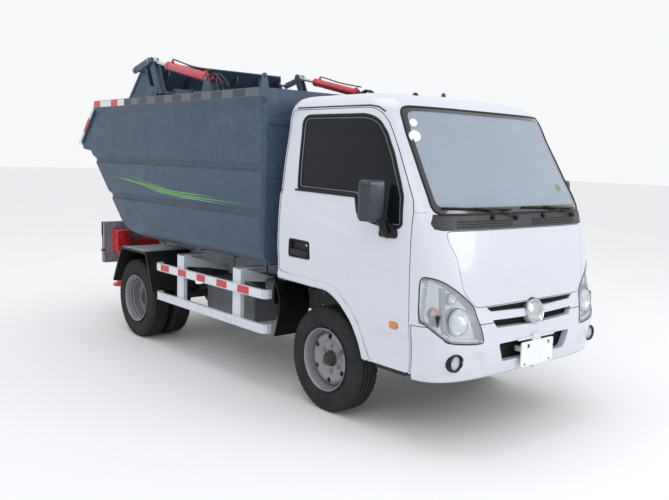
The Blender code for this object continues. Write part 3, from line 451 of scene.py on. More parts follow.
HEADLIGHT = ((0.840, 0.945), (0.786, 0.945), (0.758, 0.957), (0.689, 0.929), (0.598, 0.868), (0.520, 0.797),
    (0.505, 0.747), (0.474, 0.622), (0.504, 0.597), (0.686, 0.615), (0.735, 0.646), (0.785, 0.708), (0.840, 0.740))
LAMP_REAR, BUMPER_TOP, FOG_LAMP = -2.050, 0.700, (0.657, 0.505)


SLOT_CORNER = 0.008
UPPER_SLOT = rounded(((-0.418, 0.783), (-0.385, 0.758), (-0.09, 0.746), (0.09, 0.746), (0.385, 0.758),
    (0.418, 0.783)), SLOT_CORNER, 2)
LOWER_SLOT = rounded(((-0.383, 0.712), (-0.355, 0.668), (-0.05, 0.657), (0.05, 0.657), (0.355, 0.668), (0.383, 0.712),
    (0.09, 0.704), (-0.09, 0.704)), SLOT_CORNER, 2)


def fine_levels(step):
    """The cab's levels joined by a smooth curve."""
    points = [Vector(level) for level in CAB_LEVELS]
    gaps = [(b - a).length for a, b in zip(points, points[1:])]
    slopes = []
    for i, p in enumerate(points):
        if i == 0:
            slopes.append((points[1] - p) / gaps[0])
        elif i == len(points) - 1:
            slopes.append((p - points[-2]) / gaps[-1])
        else:
            a, b = gaps[i - 1], gaps[i]
            slopes.append(((points[i + 1] - p) / b * a + (p - points[i - 1]) / a * b) / (a + b))
    made = []
    for i, h in enumerate(gaps):
        fine = step if not 1.0 <= points[i][0] <= 1.3 else step * 0.6
        parts = max(1, math.ceil(h / fine))
        for k in range(parts):
            t = k / parts
            made.append((2 * t ** 3 - 3 * t * t + 1) * points[i] + (t ** 3 - 2 * t * t + t) * h * slopes[i]
                + (3 * t * t - 2 * t ** 3) * points[i + 1] + (t ** 3 - t * t) * h * slopes[i + 1])
    made.append(points[-1])
    made += [Vector((1.9755, 0.30, -1.33, -1.03)), Vector((1.9765, 0.12, -1.20, -1.10))]
    return made


def ramp(value, low, high):
    t = max(0.0, min(1.0, (value - low) / (high - low)))
    return t * t * (3 - 2 * t)


def swage(y):
    """Height of the crease that runs down the door."""
    line = ((-0.80, 1.345), (-0.964, 1.313), (-1.036, 1.243), (-1.338, 1.187), (-1.662, 1.129), (-2.2, 1.06))
    for (a, za), (b, zb) in zip(line, line[1:]):
        if y >= b:
            t = (y - a) / (b - a)
            return za + (zb - za) * max(0, t)
    return line[-1][1]


def relief(y, z):
    """How far the cab's side stands out of the plain skin."""
    top = swage(y)
    out = 0.010 * ramp(z, top + 0.016, top - 0.016) * ramp(z, 0.86, 1.02) * ramp(y, -1.80, -1.52)
    step = 0.622 + (-1.70 - y) * 0.03
    out -= 0.009 * ramp(z, step + 0.006, step - 0.020) * ramp(z, 0.43, 0.50) * ramp(y, -1.66, -1.74)
    return out


def skin_row(level, inset=0.0, side_parts=36, front_parts=46, plain=False):
    """One level of the skin, from the truck's left rear corner round the front to the right one."""
    z, half, front, rear = level
    half, front = half - inset, front + inset
    depth = CAB_CORNER - inset * 0.5
    depth = min(depth, (rear - front) * 0.45)
    fine = []
    for i in range(121):
        angle = math.pi / 2 * i / 120
        fine.append(Vector((half * math.cos(angle) ** (2 / CAB_POWER), front + depth - depth
            * math.sin(angle) ** (2 / CAB_POWER), z)))
    fine[-1] = Vector((0, front, z))
    lengths = [0.0]
    for a, b in zip(fine, fine[1:]):
        lengths.append(lengths[-1] + (b - a).length)
    row = [Vector((half, rear + (fine[0].y - rear) * i / side_parts, z)) for i in range(side_parts)]
    k = 0
    for i in range(front_parts + 1):
        want = lengths[-1] * i / front_parts
        while k < len(lengths) - 2 and lengths[k + 1] < want:
            k += 1
        row.append(fine[k].lerp(fine[k + 1], (want - lengths[k]) / max(1e-9, lengths[k + 1] - lengths[k])))
    if not plain:
        for p in row:
            p.x += relief(p.y, z) * ramp(p.x, half * 0.80, half * 0.97)
    return row + [Vector((-p.x, p.y, p.z)) for p in row[-2::-1]]


LEVELS = fine_levels(0.022)
SKIN_ROWS = [skin_row(level) for level in LEVELS]
SKIN_SHAPE = rings(SKIN_ROWS)


def skin_tree():
    base = raw(SKIN_SHAPE, "skin")
    base.data.calc_loop_triangles()
    points = [v.co.copy() for v in base.data.vertices]
    normals = [v.normal.copy() for v in base.data.vertices]
    triangles = [tuple(t.vertices) for t in base.data.loop_triangles]
    bpy.data.objects.remove(base, do_unlink=True)
    return BVHTree.FromPolygons(points, triangles), points, normals, triangles


TREE, TREE_POINTS, TREE_NORMALS, TREE_FACES = skin_tree()


def on_skin(point, lift=0.0):
    """The skin's nearest point, lifted along its smooth normal, with that normal."""
    at, _, index, _ = TREE.find_nearest(Vector(point))
    tri = TREE_FACES[index]
    smooth = barycentric_transform(at, *[TREE_POINTS[i] for i in tri], *[TREE_NORMALS[i] for i in tri]).normalized()
    return at + smooth * lift, smooth


def front_point(x, z):
    """The skin at a place on the front, seen square on."""
    at, _, _, _ = TREE.ray_cast(Vector((x, -3, z)), Vector((0, 1, 0)))
    return at if at else on_skin((x, -2.1, z))[0]


def side_point(side, y, z):
    at, _, _, _ = TREE.ray_cast(Vector((side * 2, y, z)), Vector((-side, 0, 0)))
    return at if at else on_skin((side * 0.8, y, z))[0]


def skin_normals(made, reach=0.003):
    """Shade whatever lies on the skin with the skin's own smooth normals."""
    mesh = made.data
    have = [Vector(n.vector) for n in mesh.corner_normals]
    for face in mesh.polygons:
        for k in face.loop_indices:
            at = mesh.vertices[mesh.loops[k].vertex_index].co
            near, smooth = on_skin(at)
            if (near - at).length < reach and face.normal.dot(smooth) > 0.75:
                have[k] = smooth
    mesh.normals_split_custom_set(have)
    return made


def skin_shell(outline, axis, low, high, outset, inset, z_range, part="front"):
    """A sheet that follows the skin between two depths, trimmed to an outline."""
    levels = [level for level in LEVELS[:-2] if z_range[0] <= level[0] <= z_range[1]]
    rows = []
    for level in levels:
        outer, inner = skin_row(level, -outset), skin_row(level, inset)
        middle = len(outer) // 2
        window = {"front": (middle - 52, middle + 53), "left": (0, middle + 1), "right": (middle, len(outer))}[part]
        a, b = outer[window[0]:window[1]], inner[window[0]:window[1]]
        if part == "left":
            a, b = [a[0] + Vector((0, 0.03, 0))] + a, [b[0] + Vector((0, 0.03, 0))] + b
        if part == "right":
            a, b = a + [a[-1] + Vector((0, 0.03, 0))], b + [b[-1] + Vector((0, 0.03, 0))]
        rows.append(a + b[::-1])
    return keep(raw(rings(rows), "sheet"), [prism(outline, axis, low, high)])


def follow(points, section, closed=True, step=0.02):
    """A strip that follows the skin along rough points."""
    line = dense(points, step, closed)
    both = [on_skin(p) for p in line]
    return sweep([p for p, n in both], section, closed, [n for p, n in both])


def front_line(outline, closed=True, step=0.02):
    return [front_point(a, b) for a, b in dense(outline, step, closed)]


def side_line(side, outline, closed=True, step=0.02):
    return [side_point(side, a, b) for a, b in dense(outline, step, closed)]


def strip(low, high, width, shift=0.0):
    """A flat section with softened outer edges: across, outward."""
    a, b = shift - width / 2, shift + width / 2
    soft = min(0.002, (high - low) * 0.4, width * 0.3)
    return [(a, low), (b, low), (b, high - soft), (b - soft, high), (a + soft, high), (a, high - soft)]


def door_outline():
    lower = [p for p in ARCH_LIP if p[0] < DOOR_REAR]
    return [(DOOR_REAR, 0.848)] + lower + list(DOOR_FRONT) + [(-1.529, DOOR_TOP), (DOOR_REAR, DOOR_TOP)]


def sided(points, side):
    return [(side * x, z) for x, z in points][::side]


def inner_cab(inset, rear_inset, low=0.30):
    rows = [skin_row((z, half, front, rear - rear_inset), inset, 2, 9, plain=True) for z, half, front,
        rear in CAB_LEVELS]
    rows[0] = [Vector((p.x, p.y, low)) for p in rows[0]]
    for row in rows[-4:]:                           # the roof's underside
        for p in row:
            p.z -= inset * 0.9
    return rings(rows)


def paint_inside(made, index=1):
    """Faces that are not on the outer skin take the inner trim."""
    for face in made.data.polygons:
        near, smooth = on_skin(face.center)
        if (near - face.center).length > 0.006 or face.normal.dot(smooth) < 0.3:
            deep = (near - face.center).length > 0.022
            if deep or face.normal.dot(smooth) < -0.5:
                face.material_index = index
    return made


def cab_body():
    outline = rounded(door_outline(), 0.02, 3)
    made = raw(SKIN_SHAPE, "cab_body")
    tools = [raw(inner_cab(0.045, 0.045)), raw(prism(rounded(list(ARCH), 0.05, 3), "x", -1, 1)),
        raw(box((-1, 1), (-2.4, -1.5), (0.30, 0.424))), raw(box((-1, 1), (-2.4, -2.0), (0.30, BUMPER_TOP))),
        raw(prism(rounded(list(SCREEN), 0.06, 5), "y", -2.4, -1.5)), raw(prism(COWL_OUT, "y", -2.4, -2.0)),
        raw(prism(grown(rounded(list(FRONT_LID), 0.03, 3), CUT * 0.8), "y", -2.4, -2.02)),
        raw(prism(rounded(REAR_WINDOW, 0.05, 4), "y", -0.9, -0.7)), raw(prism(UPPER_SLOT, "y", -2.4, -2.1)),
        raw(prism(LOWER_SLOT, "y", -2.4, -2.1))]
    for _, side in SIDES:
        tools.append(raw(prism(grown(outline, CUT * 0.8), "x", *sorted((side * 0.40, side * 1.0)))))
        tools.append(raw(prism(sided(grown(list(HEADLIGHT), 0.003), side), "y", -2.4, LAMP_REAR + 0.002)))
        tools.append(raw(box((side * 0.55, side * 1.0), (-1.99, -1.71), (0.30, 0.699))))
    boolean(made, "DIFFERENCE", tools)
    floor = prism(((-0.83, 0.800), (-0.83, 0.850), (-1.64, 0.850), (-1.72, 0.760), (-2.14, 0.760), (-2.14, 0.700),
        (-1.70, 0.700), (-1.60, 0.800)), "x", -0.748, 0.748)
    boolean(made, "UNION", [raw(floor)])
    paint_inside(made)
    dress(made, "cab_body", [WHITE, SHELL_IN], "chassis", "cab_paint", ["cab_shell"])
    for face in made.data.polygons:
        if face.center.z < 0.86 and face.material_index == 1:
            face.material_index = 2
    made.data.materials.append(WELL)
    skin_normals(made)


def doors():
    for name, side in SIDES:
        body = f"door_{name}"
        reach = sorted((side * 0.45, side * 1.0))
        made = skin_shell(rounded(door_outline(), 0.02, 3), "x", *reach, 0.0, 0.043, (0.40, 1.90), name)
        cut(made, [prism(rounded(list(WINDOW), 0.012, 2), "x", *reach)])
        cut(made, [flipped(prism(rounded(((-1.146, 0.943), (-0.925, 0.943), (-0.932, 1.064), (-1.140, 1.058)), 0.022,
            4), "x", 0.803, 0.9), side)])
        paint_inside(made)
        dress(made, f"door_skin_{name}", [WHITE, SHELL_IN], body, "cab_paint", [body])
        skin_normals(made)
        pane = skin_shell(grown(list(WINDOW), -GAP), "x", *reach, -0.010, 0.014, (1.15, 1.90), name)
        dress(pane, f"door_pane_{name}", SIDE_GLASS, body, "glass", [f"door_glass_{name}"])
        ring = side_line(side, rounded(grown(list(WINDOW), 0.003), 0.014, 3))
        shapes = [follow(ring, strip(-0.012, 0.0035, 0.017), True)]
        ring = side_line(side, rounded(grown(list(WINDOW), -0.012), 0.014, 3))
        shapes.append((*follow(ring, strip(-0.012, -0.0015, 0.006), True), 1))
        piece(f"window_seal_{name}", shapes, [TRIM, LAMP_GREY], body, slot="black_plastic")
        # the sill moulding above the handle line
        sill = side_line(side, ((-0.955, 1.370), (-1.515, 1.358)), False)
        piece(f"window_sill_{name}", [follow(sill, strip(-0.002, 0.006, 0.012), False)], TRIM, body,
            slot="black_plastic", sharp=50)
        frame_ring = rounded(((-1.141, 0.947), (-0.930, 0.947), (-0.937, 1.060), (-1.135, 1.054)), 0.02, 4)
        cup = rings([[(t, *p) for p in grown(frame_ring, g)] for t, g in ((0.800, -0.001), (0.8275, -0.001),
            (0.8295, -0.006), (0.820, -0.012), (0.8065, -0.015))])
        paddle = rings([[(t, *p) for p in grown(rounded(((-1.128, 0.954), (-0.944, 0.956), (-0.946, 1.000),
            (-1.130, 0.998)), 0.012, 3), g)] for t, g in ((0.803, 0.0), (0.824, 0.0), (0.829, -0.003),
            (0.8305, -0.007))])
        lock = turned(((0.0, 0.0001), (0.0, 0.008), (0.003, 0.008), (0.004, 0.006), (0.004, 0.0001)),
            (0.8085, -1.095, 1.030), sides=20)
        piece(f"door_handle_{name}", [flipped(s, side) for s in (cup, paddle)] + [(*flipped(lock, side), 1)],
            [BLACK, SILVER_TRIM], body, slot="black_plastic", sharp=40)
        oval = rounded(((-1.908, 0.656), (-1.846, 0.656), (-1.846, 0.688), (-1.908, 0.688)), 0.014, 4)
        lamp, rim = (rings([[(t, *p) for p in grown(oval, g)] for t, g in steps])
            for steps in (((0.800, 0.0), (0.8155, 0.0), (0.8215, -0.004), (0.8235, -0.010)),
            ((0.800, 0.004), (0.8135, 0.004), (0.8145, 0.002))))
        piece(f"side_lamp_{name}", [flipped(lamp, side), (*flipped(rim, side), 1)], [AMBER, LAMP_GREY], body,
            slot="lamp_lens")
        step = [rings([[(side * (0.795 + t), y, z) for y, z in grown(rounded(((-1.97, 0.400), (-1.73, 0.400),
            (-1.73, 0.424), (-1.97, 0.424)), 0.008, 2), g)] for t, g in ((-0.16, 0.0), (-0.004, 0.0),
            (0.0, -0.003))])]
        step += [box((side * 0.66, side * 0.785), (-1.955 + 0.028 * k, -1.943 + 0.028 * k), (0.423, 0.428))
            for k in range(8)]
        piece(f"door_step_{name}", step, BLACK, "chassis", slot="black_plastic", bevel=0.002)
        inner = [flipped(rings([[(t, y, z) for y, z in grown(rounded(((-1.86, 0.62), (-1.40, 0.90), (-0.86, 0.93),
            (-0.86, 1.33), (-1.50, 1.33), (-1.86, 1.17)), 0.04, 4), g)] for t,
            g in ((0.7665, 0.0), (0.750, -0.004), (0.744, -0.014))]), side), flipped(rings([[(t, y, z) for y,
            z in grown(rounded(((-1.60, 1.03), (-1.00, 1.05), (-1.00, 1.10), (-1.60, 1.09)), 0.02, 3), g)] for t,
            g in ((0.745, 0.0), (0.705, 0.0), (0.700, -0.006))]), side)]
        piece(f"door_card_{name}", inner, SHELL_IN, body, slot="black_plastic", sharp=40)


def arch_lips():
    """The raised white flange round each front wheel opening."""
    middle = [((a[0] + b[0]) / 2, (a[1] + b[1]) / 2) for a, b in zip(ARCH_LIP[1:],
        ((-0.80, 0.790), (-1.12, 0.783), (-1.32, 0.774), (-1.425, 0.715), (-1.535, 0.617), (-1.608, 0.486),
        (-1.628, 0.43)))]
    for name, side in SIDES:
        line = curve_through([side_point(side, y, max(0.43, z)) for y, z in [(-0.818, 0.816)] + middle[1:]], 8)
        both = [on_skin(p) for p in line]
        flange = sweep([p for p, n in both], [(-0.021, -0.02), (0.021, -0.02), (0.021, 0.003), (0.017, 0.007),
            (-0.017, 0.010), (-0.021, 0.006)], False, [n for p, n in both])
        piece(f"arch_lip_{name}", [flange], WHITE, "chassis", slot="cab_paint", sharp=38)
        edge = curve_through([side_point(side, y, max(0.40, z)) - Vector((side * 0.02, 0, 0)) for y,
            z in ((-0.80, 0.793), (-1.05, 0.787), (-1.31, 0.779), (-1.420, 0.723), (-1.530, 0.623), (-1.605, 0.491),
            (-1.634, 0.43))], 6)
        piece(f"arch_edge_{name}", [sweep(edge, [(-0.004, -0.02), (0.004, -0.02), (0.004, 0.012), (-0.004, 0.012)],
            False, [Vector((side, 0, 0))] * len(edge))], WELL, "chassis", slot="black_plastic")


def bumper_piece():
    outline = rounded(((-0.9, 0.393), (0.9, 0.393), (0.9, BUMPER_TOP - CUT), (-0.9, BUMPER_TOP - CUT)), 0.01, 2)
    made = skin_shell(outline, "y", -2.4, -2.0 - CUT * 2, 0.0, 0.040, (0.30, 0.82))
    tools = [prism(rounded(((-0.345, 0.578), (-0.300, 0.470), (0.300, 0.470), (0.345, 0.578)), 0.02, 3), "y", -2.4,
        -2.1)]
    tools.append(prism(LOWER_SLOT, "y", -2.4, -2.1))       # shared with the body above it
    for name, side in SIDES:
        tools.append(prism(sided(grown(list(HEADLIGHT), 0.003), side), "y", -2.4, LAMP_REAR + 0.002))
        x, z = side * FOG_LAMP[0], FOG_LAMP[1]
        tools.append(rod((x, -2.4, z), (x, -2.0, z), 0.050, 32))
    cut(made, tools)
    for side in (-1, 1):                            # shallow pocket beside each fog lamp
        pocket = rounded(((0.455, 0.455), (0.585, 0.470), (0.590, 0.545), (0.470, 0.560)), 0.03, 4)
        a = [front_point(side * x, z) for x, z in grown(pocket, 0.0)]
        b = [front_point(side * x, z) for x, z in grown(pocket, -0.014)]
        tool = rings([[p + Vector((0, -0.02, 0)) for p in a], a, [p + Vector((0, 0.010, 0)) for p in b]])
        cut(made, [tool])
    paint_inside(made)
    dress(made, "bumper_skin", [WHITE, WELL], "chassis", "cab_paint", ["bumper"])
    skin_normals(made)
    for name, side in SIDES:
        x, z = side * FOG_LAMP[0], FOG_LAMP[1]
        face = front_point(x, z).y
        ring = turned(((0.030, 0.034), (-0.004, 0.038), (-0.008, 0.043), (-0.007, 0.049), (0.0, 0.0505),
            (0.012, 0.0505), (0.012, 0.052), (0.055, 0.052)), (x, face, z), "y", 40, closed=True)
        bowl = turned(((0.002, 0.038), (0.014, 0.034), (0.026, 0.024), (0.034, 0.010), (0.036, 0.0005),
            (0.040, 0.0005), (0.040, 0.039)), (x, face, z), "y", 14)
        glass = turned(((0.003, 0.0005), (0.0, 0.012), (0.0, 0.026), (0.004, 0.037), (0.006, 0.037), (0.006, 0.0005)),
            (x, face - 0.002, z), "y", 40)
        ribs = [turned(((-0.0015, r), (0.001, r + 0.0025), (0.003, r)), (x, face, z), "y", 40)
            for r in (0.010, 0.019, 0.028)]
        piece(f"fog_lamp_{name}", [ring, (*bowl, 1), (*glass, 2)] + [(*r, 2) for r in ribs],
            [BLACK, BRIGHT, LENS_MAT], "chassis", slot="lamp_lens", sharp=25)


def mesh_panel(x_range, z_range, y, pitch=0.016, depth=0.006):
    """A honeycomb grille of short bars, clipped to a rectangle."""
    bars, row, size = [], 0, pitch / math.sqrt(3)
    z = z_range[0]
    while z < z_range[1]:
        x = x_range[0] + (pitch / 2 if row % 2 else 0)
        while x < x_range[1]:
            ring = [(x + size * math.sin(math.radians(60 * k)), z + size * math.cos(math.radians(60 * k)))
                for k in range(6)]
            for a, b in ((ring[5], ring[0]), (ring[0], ring[1]), (ring[1], ring[2])):
                n = Vector((b[1] - a[1], a[0] - b[0])).normalized() * 0.0014
                quad = [(a[0] + n.x, a[1] + n.y), (b[0] + n.x, b[1] + n.y), (b[0] - n.x, b[1] - n.y),
                    (a[0] - n.x, a[1] - n.y)]
                bars.append(prism(quad, "y", y, y + depth))
            x += pitch
        z += size * 1.5
        row += 1
    return bars


def grille():
    """Honeycomb behind the slots, the blank boss, the intake and the blank plate on its bracket."""
    back = [box((-0.44, 0.44), (-2.178, -2.172), (0.40, 0.785))]
    piece("grille_back", back, WELL, "chassis", slot="black_plastic", bevel=0.002)
    bars = mesh_panel((-0.42, 0.42), (0.655, 0.79), -2.196, 0.018)
    piece("grille_mesh_upper", bars, BLACK, "chassis", slot="black_plastic")
    bars = mesh_panel((-0.335, 0.335), (0.468, 0.582), -2.198, 0.024)
    piece("grille_mesh_lower", bars, BLACK, "chassis", slot="black_plastic")
    y = front_point(0, 0.723).y
    boss = turned(((0.03, 0.0005), (0.03, 0.073), (-0.004, 0.073), (-0.012, 0.070), (-0.014, 0.066), (-0.012, 0.061),
        (-0.002, 0.056), (0.0, 0.052), (-0.004, 0.048), (-0.009, 0.030), (-0.010, 0.0005)), (0, 0, 0), "y", 56)
    lean = Matrix.Rotation(math.radians(-13), 4, "X")
    boss = [Vector((0, y - 0.004, 0.723)) + (lean @ Vector((p[0] * 1.12, p[1], p[2]))) for p in boss[0]], boss[1]
    piece("boss", [boss], SILVER_TRIM, "chassis", slot="wheel_silver", sharp=28)
    plate = [(-0.155, 0.415), (0.155, 0.415), (0.155, 0.560), (-0.155, 0.560)]
    plate = rounded(plate, 0.010, 3)
    yf = -2.262
    sheet = rings([[(x, t, z) for x, z in grown(plate, g)] for t, g in ((yf + 0.008, 0.0), (yf + 0.001, 0.0),
        (yf, -0.001))])
    bead = sweep([Vector((x, yf, z)) for x, z in grown(plate, -0.006)], [(-0.002, -0.001), (0.002, -0.001),
        (0.001, 0.0012), (-0.001, 0.0012)], True, [Vector((0, -1, 0))] * len(plate))
    made = raw([sheet, bead], "plate")
    cut(made, [box((x - 0.013, x + 0.013), (-2.4, -2.1), (0.522, 0.545)) for x in (-0.088, 0.108)])
    dress(made, "blank_plate", PAPER, "chassis", "cab_paint", bevel=0)
    tabs = [box((x - 0.012, x + 0.012), (yf + 0.008, -2.19), (0.50, 0.53)) for x in (-0.12, 0.12)]
    tabs += [prism(((-0.19, 0.585), (0.19, 0.585), (0.17, 0.570), (-0.17, 0.570)), "y", -2.252, -2.235)]
    tabs += [box((-0.045, 0.035), (yf + 0.006, -2.20), (0.556, 0.600)), box((-0.03, 0.03), (yf + 0.004, -2.22),
        (0.398, 0.420))]
    piece("plate_bracket", tabs, WHITE, "chassis", slot="cab_paint", bevel=0.002)
    bolts = []
    for x in (-0.12, 0.12):
        bolts += hexagon((x, yf, 0.430), (0, -1, 0), 0.010, 0.004)
    piece("plate_bolts", bolts, NUT, "chassis", slot="wheel_silver")


def lid_piece():
    made = skin_shell(rounded(list(FRONT_LID), 0.03, 3), "y", -2.4, -2.03, 0.0, 0.018, (0.70, 1.28))
    cut(made, [turned(((-0.3, 0.0005), (-0.3, 0.078), (0.3, 0.078), (0.3, 0.0005)), (0, -2.2, 0.723), "y", 48)])
    dress(made, "lid_skin", [WHITE, WELL], "front_lid", "cab_paint", ["front_lid"])
    skin_normals(made)


def headlights():
    for name, side in SIDES:
        outline = sided(list(HEADLIGHT), side)
        clear = skin_shell(rounded(outline, 0.012, 2), "y", -2.4, LAMP_REAR - GAP, 0.001, 0.003, (0.50, 1.08))
        dress(clear, f"headlight_lens_{name}", LENS_MAT, "chassis", "lamp_lens", [f"headlight_{name}"])
        skin_normals(clear, 0.01)
        bowl = skin_shell(rounded(grown(outline, -0.002), 0.012, 2), "y", -2.4, LAMP_REAR - GAP, -0.030, 0.040,
            (0.50, 1.08))
        dress(bowl, f"headlight_back_{name}", BRIGHT, "chassis", "lamp_lens", sharp=20)
        wall = skin_shell(rounded(outline, 0.012, 2), "y", -2.4, LAMP_REAR - GAP, -0.001, 0.038, (0.50, 1.08))
        cut(wall, [prism(sided(grown(list(HEADLIGHT), -0.009), side), "y", -2.5, -1.9)])
        dress(wall, f"headlight_wall_{name}", LAMP_GREY, "chassis", "lamp_lens")
        edge = [(side * x, y, z) for x, y, z in ((.789, -2.044, .945), (.758, -2.077, .957), (.689, -2.125, .931),
            (.598, -2.160, .869), (.520, -2.185, .798), (.503, -2.197, .747), (.472, -2.23, .622),
            (.504, -2.229, .597), (.686, -2.187, .614), (.733, -2.161, .645), (.785, -2.089, .709),
            (.797, -2.052, .740), (.802, -2.046, .84))]
        line = curve_through([on_skin(p)[0] for p in edge], 5, True)
        normals = [on_skin(p)[1] for p in line]
        piece(f"headlight_gasket_{name}", [sweep([on_skin(p)[0] for p in line], strip(-0.006, 0.0025, 0.007), True,
            normals)], TRIM, "chassis", slot="black_plastic")
        # fins in the outer upper part, a grey band, the round main reflector and the amber bulb
        shapes = []
        for k in range(9):
            z = 0.925 - 0.0165 * k
            reach = 0.60 + 0.011 * k
            row = [on_skin((side * x, y, z), -0.016) for x, y in ((0.795, -2.00), (0.775, -2.06), (0.745, -2.10),
                (reach + 0.085, -2.13))]
            shapes.append(sweep([p for p, n in row], [(-0.0025, -0.012), (0.0025, -0.012), (0.0015, 0.007),
                (-0.0015, 0.007)], False, [n for p, n in row]))
        band = [on_skin((side * x, y, z), -0.012) for x, y, z in ((0.700, -2.14, 0.905), (0.703, -2.14, 0.83),
            (0.708, -2.15, 0.76), (0.710, -2.16, 0.69), (0.690, -2.17, 0.64))]
        shapes.append((*sweep([p for p, n in band], strip(-0.02, 0.004, 0.020), False, [n for p, n in band]), 1))
        for (x, y, z), radius, index in (((0.625, -2.18, 0.725), 0.072, 2), ((0.752, -2.105, 0.770), 0.030, 3),
                ((0.648, -2.15, 0.845), 0.030, 2)):
            at, n = on_skin((side * x, y, z), -0.030)
            ahead = (Vector((0, -1, 0)) + n * 0.5).normalized()
            dish = turned(((0.018, radius), (0.010, radius * 0.93), (0.0, radius * 0.66), (-0.006, radius * 0.30),
                (-0.006, 0.0005), (-0.012, 0.0005), (-0.012, radius)), (0, 0, 0), "z", 18 if index == 2 else 24)
            shapes.append((*aimed(dish, at, ahead), 2))
            rim = turned(((0.012, radius), (0.020, radius * 1.01), (0.020, radius * 1.07), (0.0, radius * 1.10)),
                (0, 0, 0), "z", 36)
            shapes.append((*aimed(rim, at, ahead), 1))
            bulb = turned(((-0.004, 0.0005), (-0.004, radius * 0.26), (0.010, radius * 0.26), (0.017, radius * 0.16),
                (0.019, 0.0005)), (0, 0, 0), "z", 20)
            if index == 3:
                bulb = turned(((-0.004, 0.0005), (-0.004, 0.021), (0.010, 0.020), (0.017, 0.012), (0.019, 0.0005)),
                    (0, 0, 0), "z", 20)
            shapes.append((*aimed(bulb, at, ahead), 3 if index == 3 else 4))
        low = [on_skin((side * x, y, z), -0.010) for x, y, z in ((0.500, -2.228, 0.612), (0.590, -2.212, 0.618),
            (0.680, -2.19, 0.632), (0.724, -2.165, 0.660))]
        shapes.append((*sweep([p for p, n in low], strip(-0.012, 0.003, 0.013), False, [n for p, n in low]), 5))
        piece(f"headlight_inside_{name}", shapes, [BRIGHT, LAMP_GREY, BRIGHT, AMBER, LENS_MAT, WHITE], "chassis",
            slot="lamp_lens", sharp=22)


def windscreen():
    outline = rounded(list(SCREEN), 0.06, 5)
    glass = skin_shell(grown(outline, -0.002), "y", -2.4, -1.5, -0.004, 0.010, (1.25, 1.925))
    dress(glass, "windscreen", GLASS, "chassis", "glass", ["windshield"])
    border = skin_shell(grown(outline, -0.001), "y", -2.4, -1.5, -0.0025, 0.0045, (1.25, 1.925))
    inner = rounded(((-0.668, 1.325), (0.668, 1.325), (0.634, 1.852), (-0.634, 1.852)), 0.05, 5)
    cut(border, [prism(inner, "y", -2.5, -1.4)])
    dress(border, "windscreen_border", FRIT, "chassis", "black_plastic")
    skin_normals(border, 0.006)
    ring = front_line(grown(outline, 0.001))
    piece("windscreen_seal", [follow(ring, strip(-0.006, 0.0025, 0.012), True)], TRIM, "chassis",
        slot="black_plastic")
    cowl = skin_shell(rounded(grown(list(COWL_OUT), -0.002), 0.012, 2), "y", -2.4, -2.0, -0.004, 0.022, (1.15, 1.32))
    dress(cowl, "cowl_panel", COWL, "chassis", "black_plastic")
    skin_normals(cowl, 0.008)
    slats = []
    for z in (1.222, 1.236, 1.250):
        for a, b in ((-0.56, -0.10), (0.10, 0.56)):
            line = [front_point(a + (b - a) * k / 12, z) for k in range(13)]
            slats.append(follow(line, [(-0.003, -0.004), (0.003, -0.004), (0.001, 0.001), (-0.003, 0.001)], False))
    piece("cowl_slats", slats, BLACK, "chassis", slot="black_plastic")


def wiper(name, pivot, points):
    """A pivot cap, a bent arm and a blade that lies on the glass."""
    shapes = []
    at, n = on_skin(front_point(*pivot))
    shapes.append(aimed(turned(((-0.01, 0.0005), (-0.01, 0.016), (0.010, 0.015), (0.016, 0.010), (0.018, 0.0005)),
        (0, 0, 0), "z", 20), at, n))
    arm_points = [on_skin(front_point(x, z), lift)[0] for x, z, lift in points["arm"]]
    shapes.append(sweep(curve_through([at + n * 0.012] + arm_points, 5), [(-0.006, -0.002), (0.006, -0.002),
        (0.005, 0.003), (-0.005, 0.003)]))
    blade = [on_skin(front_point(points["blade"][0][0] + (points["blade"][1][0] - points["blade"][0][0]) * k / 12,
        points["blade"][0][1] + (points["blade"][1][1] - points["blade"][0][1]) * k / 12), 0.008) for k in range(13)]
    shapes.append(sweep([p for p, m in blade], [(-0.005, -0.004), (0.005, -0.004), (0.0035, 0.006), (-0.0035, 0.006)],
        False, [m for p, m in blade]))
    middle = blade[6][0] + blade[6][1] * 0.006
    shapes.append(rod(middle - Vector((0.025, 0, 0)), middle + Vector((0.025, 0, 0)), 0.006, 10))
    piece(name, shapes, TRIM, "chassis", slot="black_plastic", sharp=40)


def wipers():
    wiper("wiper_right", (-0.059, 1.262), {"arm": ((-0.14, 1.285, 0.014), (-0.30, 1.306, 0.016),
        (-0.42, 1.318, 0.016)), "blade": ((-0.640, 1.322), (-0.10, 1.306))})
    wiper("wiper_left", (0.552, 1.262), {"arm": ((0.46, 1.284, 0.014), (0.32, 1.306, 0.016), (0.22, 1.316, 0.016)),
        "blade": ((0.02, 1.318), (0.575, 1.300))})
    caps = []
    for x in (-0.27, 0.217):
        at, n = on_skin(front_point(x, 1.268))
        caps.append(aimed(turned(((-0.01, 0.0005), (-0.01, 0.014), (0.008, 0.013), (0.011, 0.008), (0.012, 0.0005)),
            (0, 0, 0), "z", 20), at, n))
    piece("washer_caps", caps, TRIM, "chassis", slot="black_plastic")


